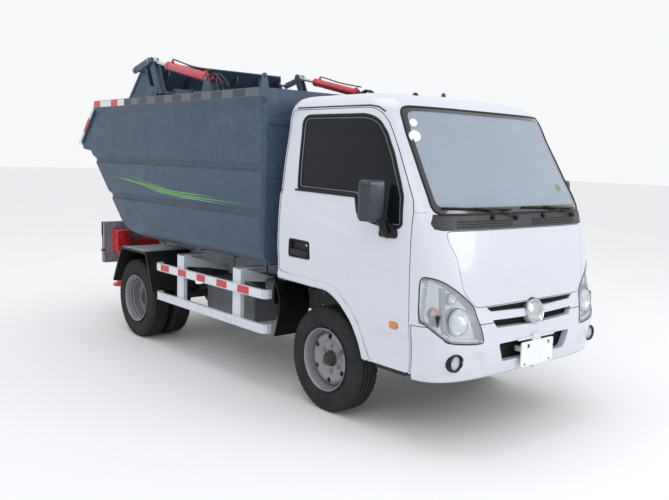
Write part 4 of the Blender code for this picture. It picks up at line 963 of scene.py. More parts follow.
def screen_labels():
    """Two blank round stickers and a blank green card behind the glass."""
    shapes = []
    for x, z, r in ((-0.616, 1.785, 0.024), (-0.632, 1.711, 0.036)):
        at, n = on_skin(front_point(x, z), -0.0035)
        shapes.append(aimed(turned(((-0.0008, 0.0005), (-0.0008, r), (0.0006, r), (0.0008, r * 0.9),
            (0.0008, 0.0005)), (0, 0, 0), "z", 32), at, n))
    piece("round_labels", shapes, PAPER, "chassis", slot="cab_paint")
    at, n = on_skin(front_point(0.50, 1.43), -0.0035)
    disc = aimed(turned(((-0.0008, 0.0005), (-0.0008, 0.024), (0.0008, 0.024), (0.0008, 0.0005)), (0, 0, 0), "z", 32),
        at, n)
    piece("green_label", [disc], GREEN, "chassis", slot="cab_paint")


def mirrors():
    """Housing, reflecting face, hinge arm and foot."""
    for name, side in SIDES:
        outline = rounded(((0.828, -1.7705), (0.846, -1.815), (0.962, -1.801), (0.991, -1.765), (0.981, -1.737),
            (0.834, -1.737)), 0.016, 4)
        rows = []
        for z, g in ((1.240, -0.016), (1.243, -0.009), (1.250, -0.003), (1.264, 0.0), (1.440, 0.0), (1.455, -0.003),
                (1.462, -0.009), (1.465, -0.018)):
            rows.append([(side * x, y, z) for x, y in grown(outline, g)])
        pane = rounded(((0.842, 1.256), (0.974, 1.256), (0.974, 1.450), (0.842, 1.450)), 0.016, 4)
        glass_rows, rim_rows = ([[(side * x, t, z) for x, z in grown(pane, g)] for t, g in steps]
            for steps in (((-1.742, 0.0), (-1.7335, 0.0), (-1.7325, -0.002)), ((-1.742, 0.005), (-1.7345, 0.005),
            (-1.7330, 0.002))))
        seam = [(side * x, y, 1.432) for x, y in grown(outline, 0.0004)]
        arm = curve_through([(side * x, y, z) for x, y, z in ((0.818, -1.812, 1.160), (0.836, -1.812, 1.176),
            (0.850, -1.808, 1.205), (0.858, -1.795, 1.246))], 6)
        shapes = [rings(rows), (*rings(rim_rows), 1), (*rings(glass_rows), 2),
            (*sweep(seam, [(-0.0015, -0.001), (0.0015, -0.001), (0.0015, 0.0006), (-0.0015, 0.0006)], True,
            [Vector((0, 0, 1))] * len(seam)), 1), (*sweep(arm, [(a * 1.0, b * 0.62) for a, b in circle(0.026, 14)],
            False, [Vector((side, 0, 0.1))] * len(arm)), 1)]
        outline_foot = rounded(((-1.880, 1.150), (-1.742, 1.150), (-1.752, 1.232), (-1.800, 1.245), (-1.880, 1.196)),
            0.02, 4)
        base = rings([[(side * t, y, z) for y, z in grown(outline_foot, g)] for t,
            g in ((0.800, 0.0), (0.822, 0.0), (0.829, -0.006), (0.832, -0.016))])
        shapes.append((*base, 1))
        piece(f"mirror_head_{name}", shapes, [MIRROR, TRIM, CHROME], f"door_{name}", slot="black_plastic",
            replaces=[f"mirror_{name}"], sharp=38)


def roof_details():
    for name, side in SIDES:
        gutter = side_line(side, ((-0.86, 1.8825), (-1.20, 1.8825), (-1.53, 1.8805), (-1.60, 1.870), (-1.652, 1.843)),
            False, 0.03)
        piece(f"drip_rail_{name}", [follow(gutter, strip(-0.003, 0.005, 0.008), False)], TRIM, "chassis",
            slot="black_plastic")
        seam = [on_skin((side * x, y, 1.301)) for x, y in ((0.785, -1.965), (0.770, -1.990), (0.748, -2.005),
            (0.726, -2.015))]
        groove = [(-0.0016, -0.002), (0.0016, -0.002), (0.0012, 0.0006), (-0.0012, 0.0006)]
        piece(f"pillar_seam_{name}", [sweep([p for p, n in seam], groove, False, [n for p, n in seam])], LAMP_GREY,
            "chassis", slot="cab_paint")
    at, n = on_skin((-0.42, -1.60, 1.97))
    base = aimed(turned(((-0.004, 0.0005), (-0.004, 0.020), (0.004, 0.017), (0.012, 0.008), (0.014, 0.0005)),
        (0, 0, 0), "z", 24), at, n)
    piece("antenna_base", [base], TRIM, "chassis", slot="black_plastic")
    ring = rounded(REAR_WINDOW, 0.05, 4)
    seal = sweep([Vector((x, -0.813, z)) for x, z in ring], [(-0.010, -0.010), (0.010, -0.010), (0.008, 0.004),
        (-0.008, 0.004)], True, [Vector((0, 1, 0))] * len(ring))
    piece("rear_window_seal", [seal], TRIM, "chassis", slot="black_plastic")
    ribs = []
    for z in (1.08, 1.22, 1.33):
        path = [(x, -0.812, z) for x in (-0.62, -0.60, 0.60, 0.62)]
        ribs.append(sweep(path, [(-0.016, -0.003), (0.016, -0.003), (0.009, 0.006), (-0.009, 0.006)], False,
            [Vector((0, 1, 0))] * 4))
    piece("rear_wall_ribs", ribs, WHITE, "chassis", slot="cab_paint", sharp=25)
    vents = []
    for side in (-1, 1):
        for k in range(6):
            vents.append(box((side * 0.60, side * 0.70), (-0.815, -0.806), (1.58 + 0.022 * k, 1.590 + 0.022 * k)))
    piece("rear_wall_vents", vents, TRIM, "chassis", slot="black_plastic", bevel=0.002)


cab_body()
doors()
arch_lips()
bumper_piece()
grille()
lid_piece()
headlights()
windscreen()
wipers()
screen_labels()
mirrors()
roof_details()


# ---------------------------------------------------------------- wheels
TYRE_R, FRONT_Y, REAR_Y, FRONT_X, TWIN_X = 0.33, -1.245, 1.209, 0.688, (0.545, 0.748)


def tyre(name, x, y, width, body):
    """Ribbed tread with shoulder notches, and a sidewall with raised rings."""
    h = width / 2
    side = [(0.80, .199), (0.86, .2035), (0.90, .212), (0.915, .2165), (0.945, .218), (0.985, .234), (1.0, .252),
        (1.0, .266), (0.993, .2705), (0.998, .2725), (0.990, .280), (0.972, .292), (0.978, .2945), (0.962, .2985),
        (0.930, .308), (0.885, .3185), (0.835, .3255), (0.780, .3290)]
    tread = [(0.60, .330), (0.575, .3215), (0.525, .3215), (0.50, .330), (0.34, .3300), (0.24, .3300), (0.215, .3215),
        (0.165, .3215), (0.14, .330)]
    half = side + tread
    profile = [(u * h, r) for u, r in half] + [(-u * h, r) for u, r in reversed(half)]
    rows, lugs = [], 54
    for i in range(lugs * 4):
        angle = math.tau * i / (lugs * 4)
        notch = 0.007 if i % 4 == 0 else 0.0
        row = []
        for t, r in profile:
            share = abs(t) / h
            drop = notch if 0.62 < share < 0.97 and r > 0.300 else (notch * 0.55 if 0.26 < share < 0.49 and r > 0.328
                else 0)
            if share < 0.13 and (i + 2) % 4 == 0:
                drop = notch * 0.5
            row.append(Vector((x + t, y + (r - drop) * math.cos(angle), TYRE_R + (r - drop) * math.sin(angle))))
        rows.append(row)
    piece(f"{name}_tread", [rings(rows, closed=True)], RUBBER, body, slot="tyre", replaces=[name], sharp=34)


def wheel_nuts(x, y, out, radius, count, across, phase=0.0, length=0.012):
    shapes = []
    for k in range(count):
        a = math.tau * (k + phase) / count
        at = (x, y + radius * math.cos(a), TYRE_R + radius * math.sin(a))
        shapes += hexagon(at, (out, 0, 0), across, length)
        tip = Vector(at) + Vector((out * (length + 0.006), 0, 0))
        shapes.append(rod(at, tip, across * 0.27, 12, across * 0.22))
    return shapes


def spun(profile, x, y, out, sides=64):
    return turned([(out * t, r) for t, r in profile], (x, y, TYRE_R), "x", sides)


def front_wheels():
    for name, side in SIDES:
        x, body = side * FRONT_X, f"front_wheel_{name}"
        tyre(f"front_tyre_{name}", x, FRONT_Y, 0.165, body)
        rim = spun(((-.080, .184), (-.080, .197), (-.060, .190), (-.03, .178), (.03, .178), (.052, .186),
            (.066, .188), (.076, .1945), (.0805, .1985), (.0825, .1975), (.0825, .194), (.078, .190), (.067, .1845),
            (.053, .1815), (.034, .1735), (-.03, .172), (-.06, .184)), x, FRONT_Y, side)
        disc = spun(((-.010, .1755), (.004, .1740), (.022, .168), (.034, .156), (.0385, .142), (.037, .128),
            (.030, .114), (.024, .106), (.0225, .098), (.0225, .056), (.0225, .050), (.010, .050), (.010, .098),
            (.018, .112), (.026, .128), (.027, .142), (.024, .152), (.014, .162), (.0, .167), (-.010, .168)), x,
            FRONT_Y, side, 96)
        made = raw([disc], "disc")
        holes = []
        for i in range(6):
            a = math.radians(60 * i + 30)
            at = Vector((x, FRONT_Y + 0.140 * math.cos(a), TYRE_R + 0.140 * math.sin(a)))
            holes.append(rod(at - Vector((0.06, 0, 0)), at + Vector((0.06, 0, 0)), 0.0185, 24))
        cut(made, holes)
        dress(made, f"front_disc_{name}", STEEL, body, "wheel_silver", [f"front_wheel_{name}"], sharp=30)
        piece(f"front_rim_{name}", [rim], STEEL, body, slot="wheel_silver", sharp=30)
        hub = spun(((-.05, .0005), (-.05, .058), (.010, .058), (.024, .052), (.030, .050), (.034, .044), (.050, .042),
            (.054, .038), (.050, .034), (.046, .020), (.052, .018), (.052, .0005)), x, FRONT_Y, side, 40)
        drum = spun(((-.062, .02), (-.062, .150), (-.055, .158), (-.012, .158), (-.012, .02)), x, FRONT_Y, side, 48)
        piece(f"front_hub_{name}", [hub, (*drum, 1)], [CAST, DARK], body, slot="running_gear", sharp=34)
        piece(f"front_nuts_{name}", wheel_nuts(x + side * 0.0225, FRONT_Y, side, 0.080, 6, 0.021, 0.5), NUT, body,
            slot="wheel_silver")
        weights = [box((x + side * 0.062, x + side * 0.072), (FRONT_Y - 0.018, FRONT_Y + 0.018),
            (TYRE_R + 0.180, TYRE_R + 0.186))]
        piece(f"rim_weight_{name}", weights, NUT, body, slot="wheel_silver", bevel=0.0015)


def rear_wheel_sets():
    for name, side in SIDES:
        body = f"rear_wheels_{name}"
        for place, x in zip(("inner", "outer"), TWIN_X):
            tyre(f"rear_tyre_{place}_{name}", side * x, REAR_Y, 0.160, body)
        x = side * TWIN_X[1]
        outer = spun(((-.078, .184), (-.078, .197), (-.060, .190), (.050, .188), (.070, .192), (.0775, .1985),
            (.080, .1975), (.080, .194), (.075, .1895), (.068, .1875), (.064, .1865), (.060, .1805), (.050, .1795),
            (.046, .1785), (.043, .1735), (.020, .1715), (.016, .1705), (.013, .1665), (-.022, .1635), (-.040, .158),
            (-.046, .148), (-.0485, .128), (-.0485, .078), (-.058, .078), (-.058, .128), (-.056, .150), (-.050, .163),
            (-.060, .184)), x, REAR_Y, side, 80)
        made = raw([outer], "rear")
        holes = []
        for i in range(6):
            a = math.radians(60 * i)
            at = Vector((x - side * 0.05, REAR_Y + 0.132 * math.cos(a), TYRE_R + 0.132 * math.sin(a)))
            holes.append(rod(at - Vector((0.03, 0, 0)), at + Vector((0.03, 0, 0)), 0.015, 20))
        cut(made, holes)
        dress(made, f"rear_rim_outer_{name}", STEEL, body, "wheel_silver", [f"rear_wheels_{name}"], sharp=28)
        xi = side * TWIN_X[0]
        inner = spun(((-.078, .184), (-.078, .197), (.0, .186), (.078, .197), (.078, .184), (.0, .172), (-.06, .172)),
            xi, REAR_Y, side)
        disc = spun(((.048, .0605), (.058, .0605), (.058, .128), (.050, .150), (.040, .175), (.032, .175),
            (.042, .148), (.048, .126)), xi, REAR_Y, side)
        piece(f"rear_rim_inner_{name}", [inner, disc], STEEL, body, slot="wheel_silver", sharp=28)
        hub = spun(((-.20, .0005), (-.20, .075), (-.045, .075), (-.040, .072), (-.010, .066), (-.006, .062),
            (-.003, .052), (.004, .050), (.006, .046), (.006, .0005)), x, REAR_Y, side, 40)
        drum = spun(((-.33, .03), (-.33, .150), (-.322, .158), (-.27, .158), (-.262, .150), (-.262, .03)), x, REAR_Y,
            side, 48)
        shapes = [hub, drum]
        for k in range(8):
            a = math.tau * k / 8
            at = (x - side * 0.006, REAR_Y + 0.056 * math.cos(a), TYRE_R + 0.056 * math.sin(a))
            shapes += [(*s, 1) for s in hexagon(at, (side, 0, 0), 0.010, 0.006, False)]
        piece(f"rear_hub_{name}", shapes, [CAST, NUT], body, slot="running_gear", sharp=34)
        piece(f"rear_nuts_{name}", wheel_nuts(x - side * 0.0485, REAR_Y, side, 0.101, 6, 0.021, 0.5), NUT, body,
            slot="wheel_silver")


# ---------------------------------------------------------------- chassis
def chassis_details():
    shapes = []
    for name, side in SIDES:
        x = side * 0.39
        for y in [-1.9 + 0.16 * k for k in range(24)]:
            for z in (0.560, 0.643):
                shapes += hexagon((x, y, z), (side, 0, 0), 0.012, 0.006, False)
        for y in (-0.50, -0.05, 0.40, 1.05, 1.55):
            shapes.append(box((side * 0.382, side * 0.396), (y - 0.045, y + 0.045), (0.62, 0.77)))
            shapes += hexagon((side * 0.396, y - 0.02, 0.74), (side, 0, 0), 0.016, 0.008)
            shapes += hexagon((side * 0.396, y + 0.02, 0.74), (side, 0, 0), 0.016, 0.008)
    piece("frame_bolts", shapes, FRAME, "chassis", slot="frame_paint", sharp=35)
    pipes = []
    for side in (-1, 1):
        for k, z in enumerate((0.595, 0.607, 0.619)):
            pipes.append(hose([(side * 0.322, -1.7, z), (side * 0.324, -0.6, z + 0.004),
                (side * 0.322, 0.6, z - 0.002), (side * 0.322, 1.7, z)], 0.0045, 8, 8))
    pipes.append(hose([(0.10, -1.10, 0.52), (0.18, -0.75, 0.45), (0.27, -0.30, 0.43), (0.28, 0.45, 0.43),
        (0.27, 0.80, 0.56), (0.27, 1.35, 0.60), (0.26, 1.70, 0.50)], 0.026, 14, 8))
    piece("frame_pipes", pipes, HOSE, "chassis", slot="running_gear", sharp=50)
    muffler = [turned(((-.19, .0005), (-.19, .055), (-.175, .070), (.175, .070), (.19, .055), (.19, .0005)),
        (0.24, 0.20, 0.44), "y", 32)]
    muffler += [turned(((t - .012, .069), (t - .012, .074), (t + .012, .074), (t + .012, .069)), (0.24, 0.20, 0.44),
        "y", 32) for t in (-.12, .12)]
    piece("silencer", muffler, CAST, "chassis", slot="running_gear", sharp=30)
    # tank and its upper cover, seen between the guard bars
    tank = rounded(((-0.622, 0.360), (-0.408, 0.360), (-0.408, 0.622), (-0.622, 0.622)), 0.035, 5)
    rows = [[(x, y, z) for x, z in grown(tank, g)] for y, g in ((-0.272, -0.02), (-0.272, -0.012), (-0.268, -0.003),
        (-0.262, 0.0), (0.372, 0.0), (0.378, -0.003), (0.382, -0.012), (0.382, -0.02))]
    shapes = [rings(rows)]
    shapes += [rings([[(x, y, z) for x, z in grown(tank, g)] for y, g in ((y0 - 0.018, 0.0), (y0 - 0.016, 0.003),
        (y0 + 0.016, 0.003), (y0 + 0.018, 0.0))]) for y0 in (-0.10, 0.22)]
    shapes.append((*turned(((0, .0005), (0, .030), (.018, .030), (.026, .024), (.026, .0005)), (-0.52, -0.2, 0.620),
        "z", 24), 1))
    piece("tank_body", shapes, [TANK, BLACK], "chassis", slot="frame_paint", replaces=["fuel_tank"], sharp=32)
    cover = rounded(((-0.605, 0.628), (-0.410, 0.628), (-0.410, 0.700), (-0.605, 0.700)), 0.018, 4)
    shapes = [rings([[(x, y, z) for x, z in grown(cover, g)] for y, g in ((a, -0.008), (a + 0.004, 0.0),
        (b - 0.004, 0.0), (b, -0.008))]) for a, b in ((-0.620, -0.375), (-0.285, -0.100))]
    piece("tool_box", shapes, TANK, "chassis", slot="frame_paint", sharp=32)
    battery = rounded(((0.41, -0.27), (0.63, -0.27), (0.63, 0.15), (0.41, 0.15)), 0.014, 3)
    rows = [[(x, y, z) for x, y in grown(battery, g)] for z, g in ((0.381, -0.004), (0.385, 0.0), (0.56, 0.0),
        (0.562, -0.005), (0.568, -0.005), (0.570, 0.002), (0.612, 0.002), (0.620, -0.006))]
    shapes = [rings(rows)] + [box((0.628, 0.634), (-0.22 + 0.07 * k, -0.20 + 0.07 * k), (0.40, 0.55))
        for k in range(6)]
    piece("battery_case", shapes, BLACK, "chassis", slot="running_gear", replaces=["battery_box"], sharp=32)
    # engine, seen from below and through the arches
    ribs = [box((-0.235, 0.235), (-1.74 + 0.06 * k, -1.73 + 0.06 * k), (0.392, 0.402)) for k in range(12)]
    ribs += [turned(((-.02, .0005), (-.02, .085), (.02, .085), (.02, .0005)), (0.0, -1.80, 0.56), "y", 32)]
    ribs += [rod((sx * 0.245, -1.65, 0.60), (sx * 0.245, -1.15, 0.60), 0.035, 16) for sx in (-1, 1)]
    piece("engine_details", ribs, CAST, "chassis", slot="running_gear", sharp=30)
    shocks = []
    for side in (-1, 1):
        for y, top in ((FRONT_Y + 0.13, 0.62), (REAR_Y - 0.16, 0.60)):
            a, b = Vector((side * 0.43, y, 0.33)), Vector((side * 0.42, y + 0.05, top))
            shocks += [rod(a, a.lerp(b, 0.55), 0.024, 16), rod(a.lerp(b, 0.5), b, 0.017, 14)]
        for y in (FRONT_Y, REAR_Y):
            for dy in (-0.045, 0.045):
                path = [(side * 0.325, y + dy, 0.26), (side * 0.325, y + dy, 0.44), (side * 0.36, y + dy, 0.462),
                    (side * 0.395, y + dy, 0.44), (side * 0.395, y + dy, 0.26)]
                shocks.append(hose(path, 0.007, 8, 4))
            for k in range(3):
                z0 = (0.078 if y < 0 else 0.095) + 0.001
                shocks.append(sweep([(side * 0.36, y + t * (0.50 - 0.06 * k) , TYRE_R + z0 - 0.030 - 0.011 * k + 0.11
                    * t * t * (1 - 0.2 * k)) for t in (-1, -.75, -.5, -.25, 0, .25, .5, .75, 1)],
                    [(-0.031, -0.0045), (0.031, -0.0045), (0.031, 0.0045), (-0.031, 0.0045)]))
    piece("springs_and_dampers", shocks, DARK, "chassis", slot="running_gear", sharp=34)
    flaps = []
    for name, side in SIDES:
        profile = [(-0.735, 0.778), (-0.790, 0.70), (-0.815, 0.60), (-0.790, 0.48), (-0.762, 0.385)]
        line = curve_through([(side * 0.675, y, z) for y, z in profile], 5)
        flaps.append(sweep(line, [(-0.125, -0.0035), (0.125, -0.0035), (0.125, 0.0035), (-0.125, 0.0035)], False,
            [Vector((0, -1, 0.2))] * len(line)))
        flaps.append(box((side * 0.54, side * 0.795), (-0.745, -0.735), (0.60, 0.79)))
    piece("mud_flaps", flaps, TRIM, "chassis", slot="black_plastic", sharp=40)
    liners = []
    for name, side in SIDES:
        arch = curve_through([(side * 0.62, y, z - 0.004) for y, z in ((-0.775, 0.775), (-1.0, 0.783), (-1.31, 0.770),
            (-1.415, 0.715), (-1.522, 0.620), (-1.600, 0.500), (-1.640, 0.430))], 5)
        liners.append(sweep(arch, [(-0.165, -0.003), (0.165, -0.003), (0.165, 0.003), (-0.165, 0.003)], False,
            [Vector((0, -0.5, 1))] * len(arch)))
    piece("arch_liners", liners, WELL, "chassis", slot="black_plastic", sharp=50)
    blocks = [box((-0.74, -0.66), (-0.805, -0.745), (0.86, 0.95)), box((0.66, 0.74), (-0.805, -0.745), (0.86, 0.95)),
        box((-0.45, 0.45), (-0.80, -0.74), (0.79, 0.86))]
    piece("cab_rests", blocks, WELL, "chassis", slot="black_plastic", bevel=0.006)


def guard_details():
    for name, side in SIDES:
        tapes = []
        cuts = (0.797, 0.732, 0.597, 0.453, 0.330, 0.172, 0.052, -0.106, -0.240, -0.378, -0.519, -0.672)
        for k, (a, b) in enumerate(zip(cuts, cuts[1:])):
            tapes.append((*box((side * 0.8419, side * 0.8428), (a - 0.0006, b + 0.0006), (0.632, 0.682)), 0 if k % 2
                else 1))
        piece(f"guard_tape_{name}", tapes, [TAPE_RED, TAPE_WHITE], "chassis", slot="red_paint")
        lips = []
        for low, high in ((0.628, 0.686), (0.392, 0.450)):
            for z in (low, high):
                lips.append(sweep([(side * x, y, z) for x, y in ((0.785, -0.699), (0.812, -0.697), (0.832, -0.684),
                    (0.8405, -0.655), (0.8405, 0.780), (0.832, 0.809), (0.812, 0.822), (0.785, 0.824))],
                    [(-0.003, -0.002), (0.003, -0.002), (0.003, 0.002), (-0.003, 0.002)], False, [Vector((0, 0, 1))]
                    * 8))
        plates = []
        for y in (0.460, -0.330):
            gusset = ((0.395, 0.668), (0.790, 0.790), (0.815, 0.790), (0.816, 0.700), (0.790, 0.700), (0.60, 0.680),
                (0.395, 0.640))
            for dy in (-0.048, 0.044):
                plates.append(flipped(prism(gusset, "y", y + dy, y + dy + 0.005), side))
            plates.append(box((side * 0.60, side * 0.816), (y - 0.048, y + 0.048), (0.785, 0.791)))
            for z in (0.655, 0.420):
                for dy in (-0.028, 0.028):
                    plates += hexagon((side * 0.8419, y + dy, z), (side, 0, 0), 0.014, 0.005,
                        False) if z < 0.5 else []
        piece(f"guard_details_{name}", lips + plates, WHITE, "chassis", slot="guard_paint", sharp=30)


def tail():
    shapes = [box((-0.805, 0.805), (1.9445, 1.951), (0.795, 0.925))]
    piece("tail_band", shapes, BLACK, "chassis", slot="black_plastic", bevel=0.003)
    lamps = []
    for side in (-1, 1):
        for k, (x, index) in enumerate(((0.70, 1), (0.60, 0), (0.51, 2))):
            shape = rounded(((x - 0.042, 0.690), (x + 0.042, 0.690), (x + 0.042, 0.765), (x - 0.042, 0.765)), 0.012,
                3)
            lamps.append((*flipped(rings([[(a, t, b) for a, b in grown(shape, g)] for t,
                g in ((1.944, 0.0), (1.956, 0.0), (1.9615, -0.004), (1.963, -0.012))]), side), index))
        frame_ring = rounded(((0.455, 0.676), (0.755, 0.676), (0.755, 0.779), (0.455, 0.779)), 0.014, 3)
        lamps.append((*flipped(rings([[(a, t, b) for a, b in grown(frame_ring, g)] for t,
            g in ((1.944, 0.0), (1.950, 0.0), (1.952, -0.003))]), side), 3))
        lamps.append((*box((side * 0.82, side * 0.79), (1.90, 1.93), (0.655, 0.675)), 0))
    piece("tail_lamps", lamps, [RED_LENS, AMBER, LENS_MAT, BLACK], "chassis", slot="lamp_lens", sharp=34)
    bits = [box((-0.20, 0.20), (1.944, 1.950), (0.585, 0.665)), box((-0.06, 0.06), (1.944, 1.962), (0.672, 0.684))]
    for side in (-1, 1):
        bits.append(box((side * 0.795, side * 0.800), (1.90, 1.946), (0.552, 0.923)))
        bits.append(box((side * 0.40, side * 0.795), (1.90, 1.926), (0.548, 0.556)))
    piece("tail_bits", bits, FRAME, "chassis", slot="frame_paint", bevel=0.002)
    bolts = []
    for x in (-0.74, -0.4, -0.25, 0.25, 0.4, 0.74):
        bolts += hexagon((x, 1.945, 0.60), (0, 1, 0), 0.014, 0.006)
    piece("tail_bolts", bolts, NUT, "chassis", slot="wheel_silver")
    legs = []
    for name, side in SIDES:
        x = side * 0.665
        legs += [rings([[(x + a, 1.830 + b, t) for a, b in grown(rounded(((-.06, -.06), (.06, -.06), (.06, .06),
            (-.06, .06)), .01, 2), g)] for t, g in ((0.657, 0.004), (0.672, 0.004), (0.674, 0.001))]),
            rings([[(x + a, 1.830 + b, t) for a, b in grown(rounded(((-.06, -.06), (.06, -.06), (.06, .06),
            (-.06, .06)), .01, 2), g)] for t, g in ((0.838, 0.001), (0.840, 0.005), (0.853, 0.005),
            (0.856, -0.006))])]
        legs += [box((x - 0.064, x + 0.064), (1.826, 1.834), (0.70, 0.82)), box((x - 0.004, x + 0.004),
            (1.766, 1.894), (0.70, 0.82))]
        foot = [turned(((0, .0005), (0, .0755), (.012, .0765), (.020, .074), (.024, .050), (.050, .040),
            (.052, .0365), (.052, .0005)), (x, 1.830, 0.335), "z", 36)]
        for k in range(4):
            a = math.radians(45 + 90 * k)
            foot += hexagon((x + 0.060 * math.cos(a), 1.830 + 0.060 * math.sin(a), 0.354), (0, 0, 1), 0.012, 0.006,
                False)
        foot.append((*turned(((0, .0368), (0, .0385), (.010, .0385), (.012, .0368)), (x, 1.830, 0.640), "z", 36), 1))
        piece(f"leg_foot_{name}_cap", foot, [LEG_RED, NUT], f"leg_{name}", slot="red_paint", sharp=30)
        pipe = [hose([(x - side * 0.03, 1.775, 0.80), (x - side * 0.05, 1.73, 0.78), (x - side * 0.14, 1.70, 0.70),
            (side * 0.33, 1.66, 0.62)], 0.008, 10, 7)]
        piece(f"leg_hose_{name}", pipe, HOSE, "chassis", slot="running_gear", sharp=50)
    piece("leg_plates", legs, LEG_RED, "chassis", slot="red_paint", bevel=0.0015)
    for name, side in SIDES:
        trim = [box((side * 0.452, side * 0.848), (1.005, 1.395), (0.7515, 0.758)),
            box((side * 0.845, side * 0.853), (1.0, 1.40), (0.744, 0.762))]
        piece(f"mudguard_rail_{name}", trim, FRAME, "chassis", slot="frame_paint", bevel=0.002)
        lips = []
        over = ((0.850, 0.440), (0.962, 0.740), (0.990, 0.752), (1.400, 0.752), (1.430, 0.745), (1.590, 0.440))
        for x in (0.452, 0.850):
            lips.append(sweep([(side * x, y, z) for y, z in over], [(-0.006, -0.016), (0.006, -0.016), (0.006, 0.003),
                (-0.006, 0.003)], False, [Vector((0, 0, 1)), Vector((0, -.3, 1)), Vector((0, 0, 1)),
                Vector((0, 0, 1)), Vector((0, .3, 1)), Vector((0, .5, 1))]))
        piece(f"mudguard_lip_{name}", lips, TRIM, "chassis", slot="black_plastic", sharp=40)


# ---------------------------------------------------------------- inside the cab
def cushion(name, outline, x_range, mats, channels, crown=0.012):
    """A padded block: a side outline lofted across, pulled in at its ends, with sewn channels."""
    rows, count = [], 40
    outline = [Vector(p) for p in rounded(outline, 0.035, 4)]
    middle = sum(outline, Vector((0, 0))) / len(outline)
    for k in range(count + 1):
        t = k / count
        x = x_range[0] + (x_range[1] - x_range[0]) * t
        end = min(t, 1 - t) * (x_range[1] - x_range[0])
        pull = 1 - 0.10 * (1 - ramp(end, 0.0, 0.045)) - (0.35 if k in (0, count) else 0)
        groove = min(abs(x - c) for c in channels)
        puff = crown * (ramp(groove, 0.0, 0.030) - 0.6)
        rows.append([Vector((x, *(middle + (p - middle) * pull + (p - middle).normalized() * puff)))
            for p in outline])
    made = raw([rings(rows)], name)
    step = made.modifiers.new("soft", "SUBSURF")
    step.levels = step.render_levels = 1
    dress(made, name, mats, "chassis", "seat_cloth", sharp=80)
    return made


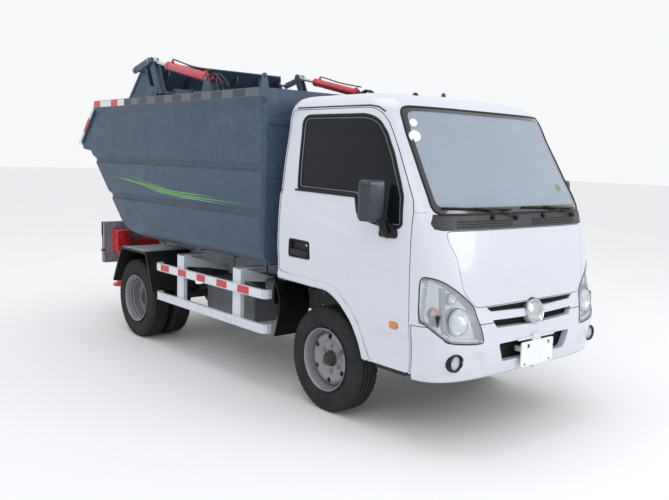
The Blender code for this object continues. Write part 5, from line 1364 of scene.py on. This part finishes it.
def interior():
    seat = ((-1.395, 0.905), (-1.405, 0.975), (-1.370, 1.005), (-1.060, 0.985), (-1.005, 0.955), (-1.000, 0.905))
    back = ((-1.050, 0.985), (-0.990, 1.210), (-0.955, 1.400), (-0.935, 1.545), (-0.905, 1.560), (-0.872, 1.540),
        (-0.868, 1.380), (-0.880, 1.100), (-0.930, 0.960))
    spans = ((0.175, 0.655), (-0.655, 0.155))
    for k, (a, b) in enumerate(spans):
        middle = [a + (b - a) * t for t in ((0.22, 0.78) if k == 0 else (0.14, 0.50, 0.86))]
        one = cushion(f"seat_cushion_{k + 1}", seat, (a, b), CLOTH, middle)
        cushion(f"back_cushion_{k + 1}", back, (a, b), CLOTH, middle)
        if k == 0:
            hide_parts("bench_seat")
        for j in range(1 if k == 0 else 2):
            centre = a + (b - a) * ((0.5,) if k == 0 else (0.27, 0.73))[j]
            rest = ((-0.962, 1.570), (-0.955, 1.700), (-0.925, 1.722), (-0.890, 1.705), (-0.880, 1.590),
                (-0.905, 1.565))
            cushion(f"head_rest_{k + 1}_{j + 1}", rest, (centre - 0.13, centre + 0.13), VINYL,
                (centre - 0.3, centre + 0.3), 0.006)
            posts = [rod((centre + d, -0.915, 1.54), (centre + d, -0.918, 1.60), 0.006, 10) for d in (-0.05, 0.05)]
            piece(f"head_rest_posts_{k + 1}_{j + 1}", posts, CHROME, "chassis", slot="rod_chrome")
    base = [rings([[(t, y, z) for y, z in grown(rounded(((-1.375, 0.852), (-0.90, 0.852), (-0.905, 0.905),
        (-1.385, 0.905)), 0.01, 2), g)] for t, g in ((-0.65, -0.004), (-0.645, 0.0), (0.645, 0.0), (0.65, -0.004))])]
    piece("seat_base", base, BLACK, "chassis", slot="black_plastic")
    wheel = []
    centre, tilt = Vector((0.360, -1.610, 1.180)), Vector((0, 0.902, 0.431))
    wheel.append(aimed(turned([(0.0145 * math.cos(a), 0.185 + 0.014 * math.sin(a))
        for a in (math.tau * i / 12 for i in range(12))], (0, 0, 0), "z", 56), centre, tilt))
    wheel.append(aimed(turned(((-.030, .0005), (-.030, .050), (-.010, .062), (.008, .064), (.018, .052), (.022, .030),
        (.023, .0005)), (0, 0, 0), "z", 32), centre, tilt))
    for a in (math.radians(20), math.radians(160), math.radians(270)):
        p = [Vector((r * math.cos(a), r * math.sin(a), h)) for r, h in ((0.04, 0.004), (0.10, -0.002), (0.178, 0.0))]
        wheel.append(aimed(sweep(p, [(-0.016, -0.005), (0.016, -0.005), (0.013, 0.006), (-0.013, 0.006)], False,
            [Vector((0, 0, 1))] * 3), centre, tilt))
    piece("steering_rim", wheel, BLACK, "steering", slot="black_plastic", replaces=["steering_wheel"], sharp=40)
    hood = rounded(((-1.905, 1.235), (-1.870, 1.295), (-1.790, 1.300), (-1.745, 1.262), (-1.752, 1.215),
        (-1.88, 1.215)), 0.015, 3)
    shapes = [rings([[(t, y, z) for y, z in grown(hood, g)] for t, g in ((0.165, -0.02), (0.172, -0.006),
        (0.185, 0.0), (0.535, 0.0), (0.548, -0.006), (0.555, -0.02))])]
    for k, x in enumerate((0.27, 0.36, 0.45)):
        shapes.append((*aimed(turned(((0, .0005), (0, .036), (.004, .038), (.006, .034), (.003, .031), (.003, .0005)),
            (0, 0, 0), "z", 28), (x, -1.7455, 1.248), (0, 1, 0.25)), 1))
    for x0 in (-0.60, -0.12, 0.62):
        for k in range(4):
            shapes.append((*box((x0, x0 + 0.10), (-1.716, -1.708), (1.130 + 0.014 * k, 1.137 + 0.014 * k)), 1))
    shapes += [(*box((-0.12, 0.12), (-1.735, -1.716), (1.02, 1.10)), 1), (*box((-0.55, -0.20), (-1.738, -1.724),
        (1.02, 1.026)), 1)]
    piece("dash_details", shapes, [DASH, BLACK], "chassis", slot="black_plastic", sharp=34)
    sheets = []
    for (x, y, turn, w, d) in ((-0.02, -1.925, 0.25, 0.13, 0.09), (0.20, -1.93, -0.15, 0.11, 0.08),
            (-0.38, -1.92, 0.1, 0.16, 0.07)):
        c, s = math.cos(turn), math.sin(turn)
        ring = [(x + c * a - s * b, y + s * a + c * b) for a, b in ((-w, -d / 2), (w * 0.4, -d / 2), (w * 0.4, d / 2),
            (-w, d / 2))]
        rows = []
        for lift in (0.002, 0.004):
            rows.append([(a, b, 1.245 + lift + 0.10 * (b + 1.90) * (1 if b < -1.90 else -1)) for a,
                b in dense(ring, 0.03)])
        sheets.append(rings(rows))
    piece("blank_papers", sheets, PAPER, "chassis", slot="cab_paint")
    lever = [rod((0.05, -1.52, 0.85), (0.06, -1.50, 1.08), 0.009, 12), aimed(turned([(0.022 * math.cos(a),
        max(0.0004, 0.022 * math.sin(a))) for a in (math.pi * k / 8 for k in range(9))], (0, 0, 0), "z", 20),
        (0.06, -1.498, 1.095), (0, 0, 1)), turned(((0, .0005), (0, .060), (.010, .052), (.045, .020), (.050, .0005)),
        (0.05, -1.52, 0.851), "z", 24)]
    piece("gear_lever", lever, BLACK, "chassis", slot="black_plastic", sharp=40)
    glassmirror = [rings([[(x, t, z) for x, z in grown(rounded(((-0.11, 1.735), (0.11, 1.735), (0.11, 1.795),
        (-0.11, 1.795)), 0.02, 4), g)] for t, g in ((-1.735, -0.008), (-1.730, 0.0), (-1.715, 0.0),
        (-1.712, -0.004))]), rod((0, -1.735, 1.775), (0, -1.775, 1.82), 0.007, 10)]
    visors = [rings([[(t, y, z) for y, z in ((-1.735, 1.800), (-1.590, 1.868), (-1.585, 1.856), (-1.730, 1.788))]
        for t in sorted((s * 0.08, s * 0.60))]) for s in (-1, 1)]
    piece("inside_mirror", glassmirror, BLACK, "chassis", slot="black_plastic", sharp=40)
    piece("sun_visors", visors, DASH, "chassis", slot="black_plastic", bevel=0.004)


front_wheels()
rear_wheel_sets()
chassis_details()
guard_details()
tail()
interior()


# ---------------------------------------------------------------- hopper
HOPPER_X, HOPPER_FRONT, HOPPER_FLOOR, HOPPER_TOP = 0.860, -0.680, 0.855, 2.013
HOPPER_SIDE = ((-0.680, 0.855), (1.020, 0.855), (1.160, 0.872), (1.290, 0.917), (1.403, 0.988), (2.080, 1.609),
    (2.240, 1.625), (2.255, 1.650), (1.893, 2.013), (-0.680, 2.013))
HOPPER_INSIDE = ((-0.670, 0.865), (1.018, 0.865), (1.156, 0.882), (1.284, 0.926), (1.396, 0.996), (2.076, 1.619),
    (2.300, 1.640), (2.300, 2.060), (-0.670, 2.060))
GROOVES, GROOVE_DEPTH, GROOVE_H, RIM_OUT = (1.500, 1.195), 0.021, 0.036, 0.030
BLADE_PIVOT, ROCKER_PIVOT, CRANK, TAIL = (1.163, 1.990), (0.908, 2.050), (0.122, 0.260), (0.153, 2.121)
LINK_X, TIP_HINGE = 0.750, (1.500, 0.830)


def hopper_half(inset):
    x = HOPPER_X - inset
    points = [(x, HOPPER_TOP + (0.05 if inset else 0))]
    for z in GROOVES:
        for t in (1.0, 0.92, 0.80, 0.30, 0.12, 0.0, -0.12, -0.30, -0.80, -0.92, -1.0):
            a = abs(t)
            depth = 0.0 if a >= 1 else 0.05 if a > 0.9 else 0.20 if a > 0.7 else 0.80 if a > 0.25 else 0.96 if a > 0.1 else 1.0
            points.append((x - GROOVE_DEPTH * depth, z + t * GROOVE_H))
    radius = 0.125 - inset
    centre = (x - radius, HOPPER_FLOOR + inset + radius)
    points += [(centre[0] + radius * math.cos(math.radians(-90 * k / 12)), centre[1] + radius
        * math.sin(math.radians(-90 * k / 12))) for k in range(13)]
    return points


def hopper_block(inset, outline, low, high):
    half = hopper_half(inset)
    section = half + [(-x, z) for x, z in reversed(half)]
    made = raw(prism(section, "y", low, high), "hull")
    return keep(made, [prism(outline, "x", -1, 1)])


def hopper_body():
    hull = hopper_block(0.0, list(HOPPER_SIDE), -0.680, 2.6)
    r = 0.036                                       # the front corners' bend
    arc = [(-(HOPPER_X - r) - r * math.cos(math.radians(90 * k / 8)), HOPPER_FRONT + r - r
        * math.sin(math.radians(90 * k / 8))) for k in range(9)]
    plan = [(-0.861, 2.7), (-0.861, HOPPER_FRONT + r)] + arc + [(-x, y) for x,
        y in reversed(arc)] + [(0.861, HOPPER_FRONT + r), (0.861, 2.7)]
    keep(hull, [prism(plan, "z", 0.5, 2.5)])
    inside = hopper_block(0.010, list(HOPPER_INSIDE), -0.670, 2.6)
    boolean(hull, "DIFFERENCE", [inside])
    for face in hull.data.polygons:
        c, n = face.center, face.normal
        outward = Vector((c.x if abs(n.x) > 0.2 else 0, 0, 0)).dot(n)
        inner = abs(c.x) < HOPPER_X - 0.004 and outward < -0.0 or (n.z > 0.5 and c.z < 1.7) or (n.y > 0.5
            and c.y < 0) or (n.z > 0.3 and n.y < -0.3)
        face.material_index = 1 if inner else 0
    return dress(hull, "hopper_body", [HULL, HULL_IN], "hopper", "hopper_paint", ["hopper"], sharp=22)


def hopper_fittings():
    shapes = []
    for side in (-1, 1):
        x = HOPPER_X
        section = rounded(((x - 0.004, 1.902), (x + RIM_OUT, 1.947), (x + RIM_OUT, HOPPER_TOP),
            (x - 0.030, HOPPER_TOP), (x - 0.030, HOPPER_TOP - 0.010), (x - 0.006, HOPPER_TOP - 0.010)), 0.005, 3)
        shapes.append(flipped(rings([[(a, y, b) for a, b in grown(section, g)] for y,
            g in ((HOPPER_FRONT - 0.001, -0.003), (HOPPER_FRONT + 0.002, 0.0), (1.893, 0.0))]), side))
        mouth = rounded(((1.893, 2.013), (1.843, 1.999), (2.190, 1.646), (2.252, 1.648)), 0.008, 3)
        shapes.append(flipped(rings([[(t, a, b) for a, b in grown(mouth, g)] for t,
            g in ((x - 0.006, 0.0), (x + 0.019, 0.0), (x + 0.022, -0.004))]), side))
        lug = [(0.832, 1.960), (0.850, 1.940), (0.890, 1.950), (0.892, 2.020), (0.879, 2.085)]
        lug += [(0.861 + 0.018 * math.cos(math.radians(18 * k)), 2.086 + 0.018 * math.sin(math.radians(18 * k)))
            for k in range(11)]
        lug += [(0.830, 2.015)]
        ear = raw(flipped(prism(lug, "y", HOPPER_FRONT - 0.011, HOPPER_FRONT + 0.003), side), "lug")
        cut(ear, [rod((side * 0.861, -0.75, 2.080), (side * 0.861, -0.60, 2.080), 0.008, 20)])
        dress(ear, f"lifting_lug_{'left' if side > 0 else 'right'}", HULL, "hopper", "hopper_paint", bevel=0.0015)
        cheek = rounded(((0.860, 1.940), (0.860, 2.075), (0.890, 2.098), (0.930, 2.098), (0.980, 2.060),
            (1.100, 2.045), (1.215, 2.045), (1.225, 1.940)), 0.012, 3)
        shapes.append(flipped(prism(cheek, "x", 0.812, 0.852), side))
        shapes.append(flipped(rod((0.726, *BLADE_PIVOT), (0.820, *BLADE_PIVOT), 0.016, 24), side))
        shapes.append(flipped(box((0.700, 0.852), (0.070, 0.240), (1.985, 2.013)), side))
        for offset in (-0.030, 0.030):
            plate = rounded(((0.072, 2.000), (0.238, 2.000), (0.180, 2.130), (0.153, 2.152), (0.126, 2.130)), 0.012,
                4)
            shapes.append(flipped(prism(plate, "x", LINK_X + offset - 0.005, LINK_X + offset + 0.005), side))
        shapes.append(flipped(rod((LINK_X - 0.040, *TAIL), (LINK_X + 0.040, *TAIL), 0.009, 16), side))
        shapes.append(flipped(box((0.335, 0.385), (-0.640, 1.350), (0.787, 0.862)), side))
        knuckle = [(1.300, 0.787), (1.440, 0.787)] + [(TIP_HINGE[0] + 0.034 * math.cos(math.radians(-90 + 18 * k)),
            TIP_HINGE[1] + 0.034 * math.sin(math.radians(-90 + 18 * k))) for k in range(11)]
        knuckle += [(1.520, 1.060), (1.300, 0.925)]
        plate = raw(flipped(prism(knuckle, "x", 0.2995, 0.3365), side), "knuckle")
        cut(plate, [rod((side * 0.25, *TIP_HINGE), (side * 0.45, *TIP_HINGE), 0.0130, 20)])
        dress(plate, f"tip_hinge_plate_{'left' if side > 0 else 'right'}", HULL, "hopper", "hopper_paint",
            bevel=0.0015)
        shapes.append(flipped(box((0.338, 0.385), (1.200, 1.340), (0.787, 0.885)), side))
        eye = raw(prism(rounded(((0.600, 0.862), (0.700, 0.862), (0.680, 0.785), (0.650, 0.770), (0.620, 0.785)),
            0.012, 3), "x", side * 0.048 - 0.008, side * 0.048 + 0.008), "eye")
        dress(eye, f"lift_ear_{'left' if side > 0 else 'right'}", HULL, "hopper", "hopper_paint", bevel=0.0015)
    shapes.append(box((-0.690, 0.690), (0.790, 0.830), (1.990, 2.085)))
    shapes.append(box((-0.852, 0.852), (0.785, 0.835), (1.955, 1.995)))
    shapes.append(rod((-0.05, 0.650, 0.800), (0.05, 0.650, 0.800), 0.022, 20))
    shapes.append(prism(rounded(((2.070, 1.611), (2.238, 1.629), (2.248, 1.600), (2.200, 1.585), (2.045, 1.572)),
        0.006, 2), "x", -0.850, 0.850))
    for x in (-0.5, 0.0, 0.5):                       # stiffeners under the floor and up the tail
        shapes.append(box((x - 0.02, x + 0.02), (-0.60, 1.15), (0.842, 0.856)) if x
            else box((-0.02, 0.02), (0.75, 1.15), (0.842, 0.856)))
    for y in (-0.60, -0.15, 0.30, 0.95):
        shapes.append(box((-0.735, 0.735), (y - 0.016, y + 0.016), (0.838, 0.856)))
    for x in (-0.60, 0.0, 0.60):
        slope = [(1.430, 1.013), (2.045, 1.577), (2.060, 1.562), (1.446, 0.996)]
        shapes.append(prism(slope, "x", x - 0.018, x + 0.018))
    for z in (1.10, 1.45, 1.80):                     # channels across the front wall
        path = [(x, HOPPER_FRONT, z) for x in (-0.80, -0.78, 0.78, 0.80)]
        shapes.append(sweep(path, [(-0.025, -0.004), (0.025, -0.004), (0.018, 0.009), (-0.018, 0.009)], False,
            [Vector((0, -1, 0))] * 4))
    piece("hopper_fittings", shapes, HULL, "hopper", slot="hopper_paint", bevel=0.0015, sharp=30)


def hopper_marks():
    """Reflective tape round the rim, its long forward run painted as it looks in shade, and the green swoosh between
    the pressed grooves.
    """
    x = HOPPER_X + RIM_OUT
    for name, side in SIDES:
        shapes = []
        spans = ((1.893, 1.759, 0), (1.759, 1.540, 1), (1.540, 1.412, 0), (1.412, 1.288, 1))
        for a, b, k in spans:
            shapes.append((*box((side * (x - 0.001), side * (x + 0.0009)), (b + 0.0006, a - 0.0006), (1.956, 2.009)),
                k))
        # painted shade: the long forward run of tape is a grey strip (the white squares in shade) with dark boxes
        # (the red squares in shade)
        shapes.append((*box((side * (x - 0.001), side * (x + 0.0006)), (-0.672, 1.287), (1.956, 2.009)), 3))
        for a, b in ((1.288, 1.158), (1.015, 0.876), (0.742, 0.596), (0.471, 0.335), (0.190, 0.050), (-0.085, -0.227),
                (-0.364, -0.507)):
            shapes.append((*box((side * (x - 0.001), side * (x + 0.0012)), (b, a), (1.959, 2.006)), 2))
        for k in range(3):
            a, b = Vector((1.905 + 0.117 * k, 1.982 - 0.118 * k)), Vector((1.905 + 0.117 * (k + 1), 1.982 - 0.118
                * (k + 1)))
            n = Vector((0.7071, 0.7071)) * 0.019
            quad = [tuple(a - n * 1.1), tuple(b - n * 1.1), tuple(b + n * 0.7), tuple(a + n * 0.7)]
            shapes.append((*flipped(prism(quad, "x", HOPPER_X + 0.0212, HOPPER_X + 0.0231), side), 0 if k % 2 else 1))
        piece(f"rim_tape_{name}", shapes, [TAPE_RED, TAPE_WHITE, TAPE_RED_IN_SHADE, TAPE_WHITE_IN_SHADE], "hopper", slot="red_paint")
        lines = (((1.560, 1.3555), (1.260, 1.336), (0.90, 1.300), (0.55, 1.262), (0.115, 1.254), (-0.171, 1.249),
            (-0.505, 1.243)), (0.002, 0.013, 0.022, 0.034, 0.015, 0.008, 0.001))
        path = curve_through([(side * (HOPPER_X + 0.0004), y, z) for y, z in lines[0]], 8)
        widths = curve_through([(w, 0, 0) for w in lines[1]], 8)
        top, low = [], []
        for p, w in zip(path, widths):
            top.append(p + Vector((0, 0, max(0.0006, w.x) / 2)))
            low.append(p - Vector((0, 0, max(0.0006, w.x) / 2)))
        lift = Vector((side * 0.0008, 0, 0))
        rows = [[t - lift, t + lift, b + lift, b - lift] for t, b in zip(top, low)]
        shapes = [rings(rows)]
        for shift, width, span, index in ((0.017, 0.006, (10, 40), 1), (-0.021, 0.005, (14, 44), 1),
                (0.028, 0.003, (4, 26), 0)):
            part = path[span[0]:span[1]]
            rows = []
            for k, p in enumerate(part):
                w = max(0.0004, width * math.sin(math.pi * k / (len(part) - 1))) / 2
                q = p + Vector((0, 0, shift + 0.006 * math.sin(math.pi * k / (len(part) - 1))))
                rows.append([q + Vector((0, 0, w)) - lift, q + Vector((0, 0, w)) + lift, q - Vector((0, 0, w)) + lift,
                    q - Vector((0, 0, w)) - lift])
            shapes.append((*rings(rows), index))
        piece(f"green_swoosh_{name}", shapes, [GREEN, GREEN_PALE], "hopper", slot="hopper_paint")


def linkage():
    pivot, tip = Vector(BLADE_PIVOT), Vector((1.953, 1.649))
    along, out = Vector((0.7071, -0.7071)), Vector((0.7071, 0.7071))
    top = pivot + out * 0.317 - along * 0.170
    pin = pivot + Vector(CRANK)
    rocker_pin = Vector(ROCKER_PIVOT) + Vector(CRANK)
    blade, nuts = [], []
    for k in range(1, 12):                          # pressed ribs across the blade's outer face
        if k % 2:
            a = tip.lerp(top, k / 12)
            path = [(x, *(a + out * 0.0)) for x in (-0.66, -0.64, 0.64, 0.66)]
            blade.append(sweep(path, [(-0.014, -0.003), (0.014, -0.003), (0.008, 0.007), (-0.008, 0.007)], False,
                [Vector((0, out.x, out.y))] * 4))
    lip = prism([tuple(tip - out * 0.013 - along * 0.035), tuple(tip + out * 0.006 - along * 0.035),
        tuple(tip + out * 0.006 - along * 0.001), tuple(tip - out * 0.013 - along * 0.001)], "x", -0.695, 0.695)
    blade.append(lip)
    for side in (-1, 1):
        for at, r in ((pin, 0.026), (pivot, 0.040)):
            blade.append(flipped(turned(((0.690, 0.012 if at is pin else 0.0187), (0.690, r), (0.7135, r),
                (0.7155, r - 0.003), (0.7155, 0.012 if at is pin else 0.0187)), (0, *at), "x", 32), side))
        nuts += [flipped(s, side) for s in hexagon((0.800, *pin), (1, 0, 0), 0.026, 0.012)]
        nuts.append(flipped(rod((0.729, *BLADE_PIVOT), (0.738, *BLADE_PIVOT), 0.024, 24), side))
        rib = [tuple(tip - out * 0.004 - along * 0.05), tuple(top - out * 0.006 + along * 0.02),
            tuple(top - out * 0.03 + along * 0.035), tuple(tip - out * 0.03 - along * 0.075)]
        blade.append(flipped(prism(rib, "x", 0.711, 0.719), side))
    piece("blade_ribs", blade, HULL, "blade", slot="hopper_paint", bevel=0.001)
    piece("blade_nuts", nuts, NUT, "blade", slot="wheel_silver")
    knobs, steel = [], []
    for side in (-1, 1):
        knobs += [flipped(s, side) for s in hexagon((0.799, *rocker_pin), (1, 0, 0), 0.026, 0.012)]
        for offset in (-0.030, 0.030):
            knobs.append(flipped(turned(((LINK_X + offset - 0.0035, 0.018), (LINK_X + offset - 0.0035, 0.030),
                (LINK_X + offset + 0.0035, 0.030), (LINK_X + offset + 0.0035, 0.018)), (0, *ROCKER_PIVOT), "x", 24),
                side))
        steel.append(flipped(prism(rounded(((rocker_pin.x - 0.022, rocker_pin.y - 0.05),
            (rocker_pin.x + 0.010, rocker_pin.y - 0.03), (rocker_pin.x + 0.014, rocker_pin.y + 0.026),
            (rocker_pin.x - 0.012, rocker_pin.y + 0.030)), 0.01, 3), "x", LINK_X - 0.036, LINK_X - 0.029), side))
    piece("rocker_nuts", knobs, NUT, "rockers", slot="wheel_silver")
    piece("rocker_plates", steel, HULL, "rockers", slot="hopper_paint", bevel=0.001)
    washers = []
    for side in (-1, 1):
        for at in (pin, rocker_pin):
            washers.append(flipped(turned(((0.7795, 0.0125), (0.7795, 0.021), (0.784, 0.021), (0.784, 0.0125)),
                (0, *at), "x", 24), side))
    piece("link_washers", washers, NUT, "links", slot="wheel_silver")
    tail = Vector(TAIL)
    line = (rocker_pin - tail).normalized()
    caps, eyes, pipes = [], [], []
    for side in (-1, 1):
        x = side * LINK_X
        a = lambda d: Vector((x, *(tail + line * d)))
        turn = Vector((0, line.x, line.y))
        for start, stop, r in ((0.060, 0.082, 0.0365), (0.600, 0.646, 0.0370)):
            caps.append(aimed(turned(((start, r - 0.006), (start, r - 0.002), (start + 0.003, r), (stop - 0.003, r),
                (stop, r - 0.002), (stop, 0.016 if stop > 0.1 else r - 0.006)), (0, 0, 0), "z", 40), (x, *tail),
                turn))
        caps.append(aimed(turned(((0.080, 0.0339), (0.082, 0.0352), (0.600, 0.0352), (0.604, 0.0339)), (0, 0, 0), "z",
            40), (x, *tail), turn))
        for d in (0.075, 0.585):
            base = a(d) + Vector((0, -line.y, line.x)) * 0.030
            caps.append(rod(base, base + Vector((0, -line.y, line.x)) * 0.018, 0.012, 16))
        eyes.append(rod(a(0.640), a(0.652), 0.019, 24, 0.0165))
        up = Vector((0, -line.y, line.x))
        high = a(0.585) + up * 0.046
        pipes.append(hose([a(0.585) + up * 0.036, high + up * 0.012, a(0.50) + up * 0.058, a(0.30) + up * 0.050,
            a(0.12) + up * 0.056, a(0.02) + up * 0.060], 0.0055, 10, 6))
    piece("cylinder_caps", caps, RED, "packer_barrels", slot="red_paint", sharp=30)
    piece("cylinder_wipers", eyes, TRIM, "packer_barrels", slot="black_plastic")
    piece("cylinder_pipes", pipes, HOSE, "packer_barrels", slot="running_gear", sharp=50)
    lines = []
    for side in (-1, 1):
        x = side * LINK_X
        for dx in (-0.018, 0.018):
            lines.append(hose([(x + dx, 0.128, 2.135), (x + dx, 0.070, 2.150), (x + dx * 1.2, 0.010, 2.120),
                (x + dx * 1.3, -0.045, 2.060), (x + dx * 1.3, -0.060, 1.990), (side * (0.842 + dx * 0.3), -0.090,
                1.900)], 0.0085, 10, 6))
        lines += [rod((x + dx * 1.25, -0.028, 2.090), (x + dx * 1.28, -0.046, 2.058), 0.013, 12)
            for dx in (-0.018, 0.018)]
        lines.append(hose([(x, 0.43, 2.000), (x - side * 0.01, 0.43, 2.040), (x, 0.42, 2.062),
            (x + side * 0.02, 0.40, 2.030)], 0.007, 10, 5))
    piece("hopper_hoses", lines, HOSE, "hopper", slot="running_gear", sharp=50)
    bolts = []
    for side in (-1, 1):
        for y, z in ((0.885, 1.985), (0.885, 2.065), (1.20, 1.985), (1.04, 2.02)):
            bolts += [flipped(s, side) for s in hexagon((0.812, y, z), (-1, 0, 0), 0.016, 0.007)]
        for y in (0.095, 0.215):
            bolts += [flipped(s, side) for s in hexagon((LINK_X - 0.055, y, 2.013), (0, 0, 1), 0.014, 0.007)]
        bolts += [flipped(s, side) for s in hexagon((LINK_X + 0.040, *TAIL), (1, 0, 0), 0.018, 0.008)]
        for k in range(6):
            bolts += [flipped(s, side) for s in hexagon((0.852 - 0.016, -0.6 + 0.35 * k, 2.013), (0, 0, 1), 0.011,
                0.005, False)]
    piece("hopper_bolts", bolts, NUT, "hopper", slot="wheel_silver")
    a, b = Vector((0, -0.150, 0.520)), Vector((0, 0.650, 0.800))
    line = (b - a).normalized()
    caps = [aimed(turned(((s, 0.040), (s, 0.0475), (e, 0.0475), (e, 0.040 if s < 0.1 else 0.029)), (0, 0, 0), "z",
        40), a, line) for s, e in ((0.120, 0.140), (0.690, 0.735))]
    caps.append(aimed(turned(((0.138, 0.0449), (0.140, 0.0462), (0.690, 0.0462), (0.692, 0.0449)), (0, 0, 0), "z",
        40), a, line))
    piece("lift_caps", caps, RED, "lift_barrel", slot="red_paint", sharp=30)


hopper_body()
hopper_fittings()
hopper_marks()
linkage()

CAD_LOOK = {"cab_shell": WHITE, "bumper": WHITE, "front_lid": WHITE, "hopper": HULL, "packing_blade": HULL,
    "rocker_shaft": HULL, "link_right": HULL, "link_left": HULL, "chassis_frame": FRAME, "rear_panel": FRAME,
    "fuel_tank": FRAME, "battery_box": DARK, "engine_block": CAST, "front_axle": DARK, "rear_axle": DARK,
    "drive_shaft": DARK, "knuckle_right": DARK, "knuckle_left": DARK, "leg_beam": LEG_RED, "dashboard": DASH,
    "bench_seat": CLOTH, "steering_wheel": BLACK, "rear_window": SIDE_GLASS}


# painted shade: the chassis frame below z 0.668 takes the running-gear black for the shadow under the hopper; the
# side guards' parts inboard of x 0.77 take the same black
DARK_WHERE = {"chassis_frame": lambda p: p.z < 0.668, "side_guard_right": lambda p: abs(p.x) < 0.77,
    "side_guard_left": lambda p: abs(p.x) < 0.77}


def cad_looks():
    """Every CAD node that stays gets a worked surface."""
    for name, made in NODE.items():
        if made.hide_render:
            continue
        look = CAD_LOOK.get(name)
        if not look:
            look = (RUBBER if "tyre" in name else STEEL if "wheel" in name else BLACK if "mudguard" in name
                or "mirror" in name else WHITE if "guard" in name or "door_" in name and "glass" not in name else RED
                if "barrel" in name else CHROME if "_rod" in name else LEG_RED if "leg" in name else GLASS)
        made.data.materials.clear()
        made.data.materials.append(look)
        # painted shade on the low chassis frame: faces picked in DARK_WHERE take the black
        if name in DARK_WHERE:
            made.data.materials.append(DARK)
            for face in made.data.polygons:
                face.material_index = int(DARK_WHERE[name](face.center))


cad_looks()


# ---------------------------------------------------------------- floor, light and finish
def studio():
    reach, low, top = 60, -0.02, -0.001             # a wide slab just under the tyres
    floor = raw(box((-reach, reach), (-reach, reach), (low, top)), "floor")
    floor.name = "studio_floor"
    pale = paint("pale_floor", (240, 240, 241), 0.7, vary=0.008, scale=0.7, bump=(30, 0.02), specular=0.2)
    floor.data.materials.append(pale)
    world = bpy.data.worlds.new("soft_white")
    world.use_nodes = True
    world.node_tree.nodes["Background"].inputs[0].default_value = (0.97, 0.985, 1.0, 1)
    world.node_tree.nodes["Background"].inputs[1].default_value = 0.96
    bpy.context.scene.world = world
    for name, at, to, size, power in (("key", (-5.5, -6.5, 6.5), (0, -0.8, 1.0), 4.5, 80),
            ("front", (3.5, -8.0, 3.8), (0, -1.5, 1.0), 3.5, 130), ("top", (-1.0, 0.5, 7.5), (0, 0.5, 1.5), 5.0,
            100)):
        data = bpy.data.lights.new(name, "AREA")
        data.shape, data.size, data.energy = "DISK", size, power
        lamp = bpy.data.objects.new(name, data)
        bpy.context.scene.collection.objects.link(lamp)
        lamp.location = at
        lamp.rotation_euler = (Vector(to) - Vector(at)).to_track_quat("-Z", "Y").to_euler()
    bpy.context.scene.view_settings.view_transform = "Standard"


studio()
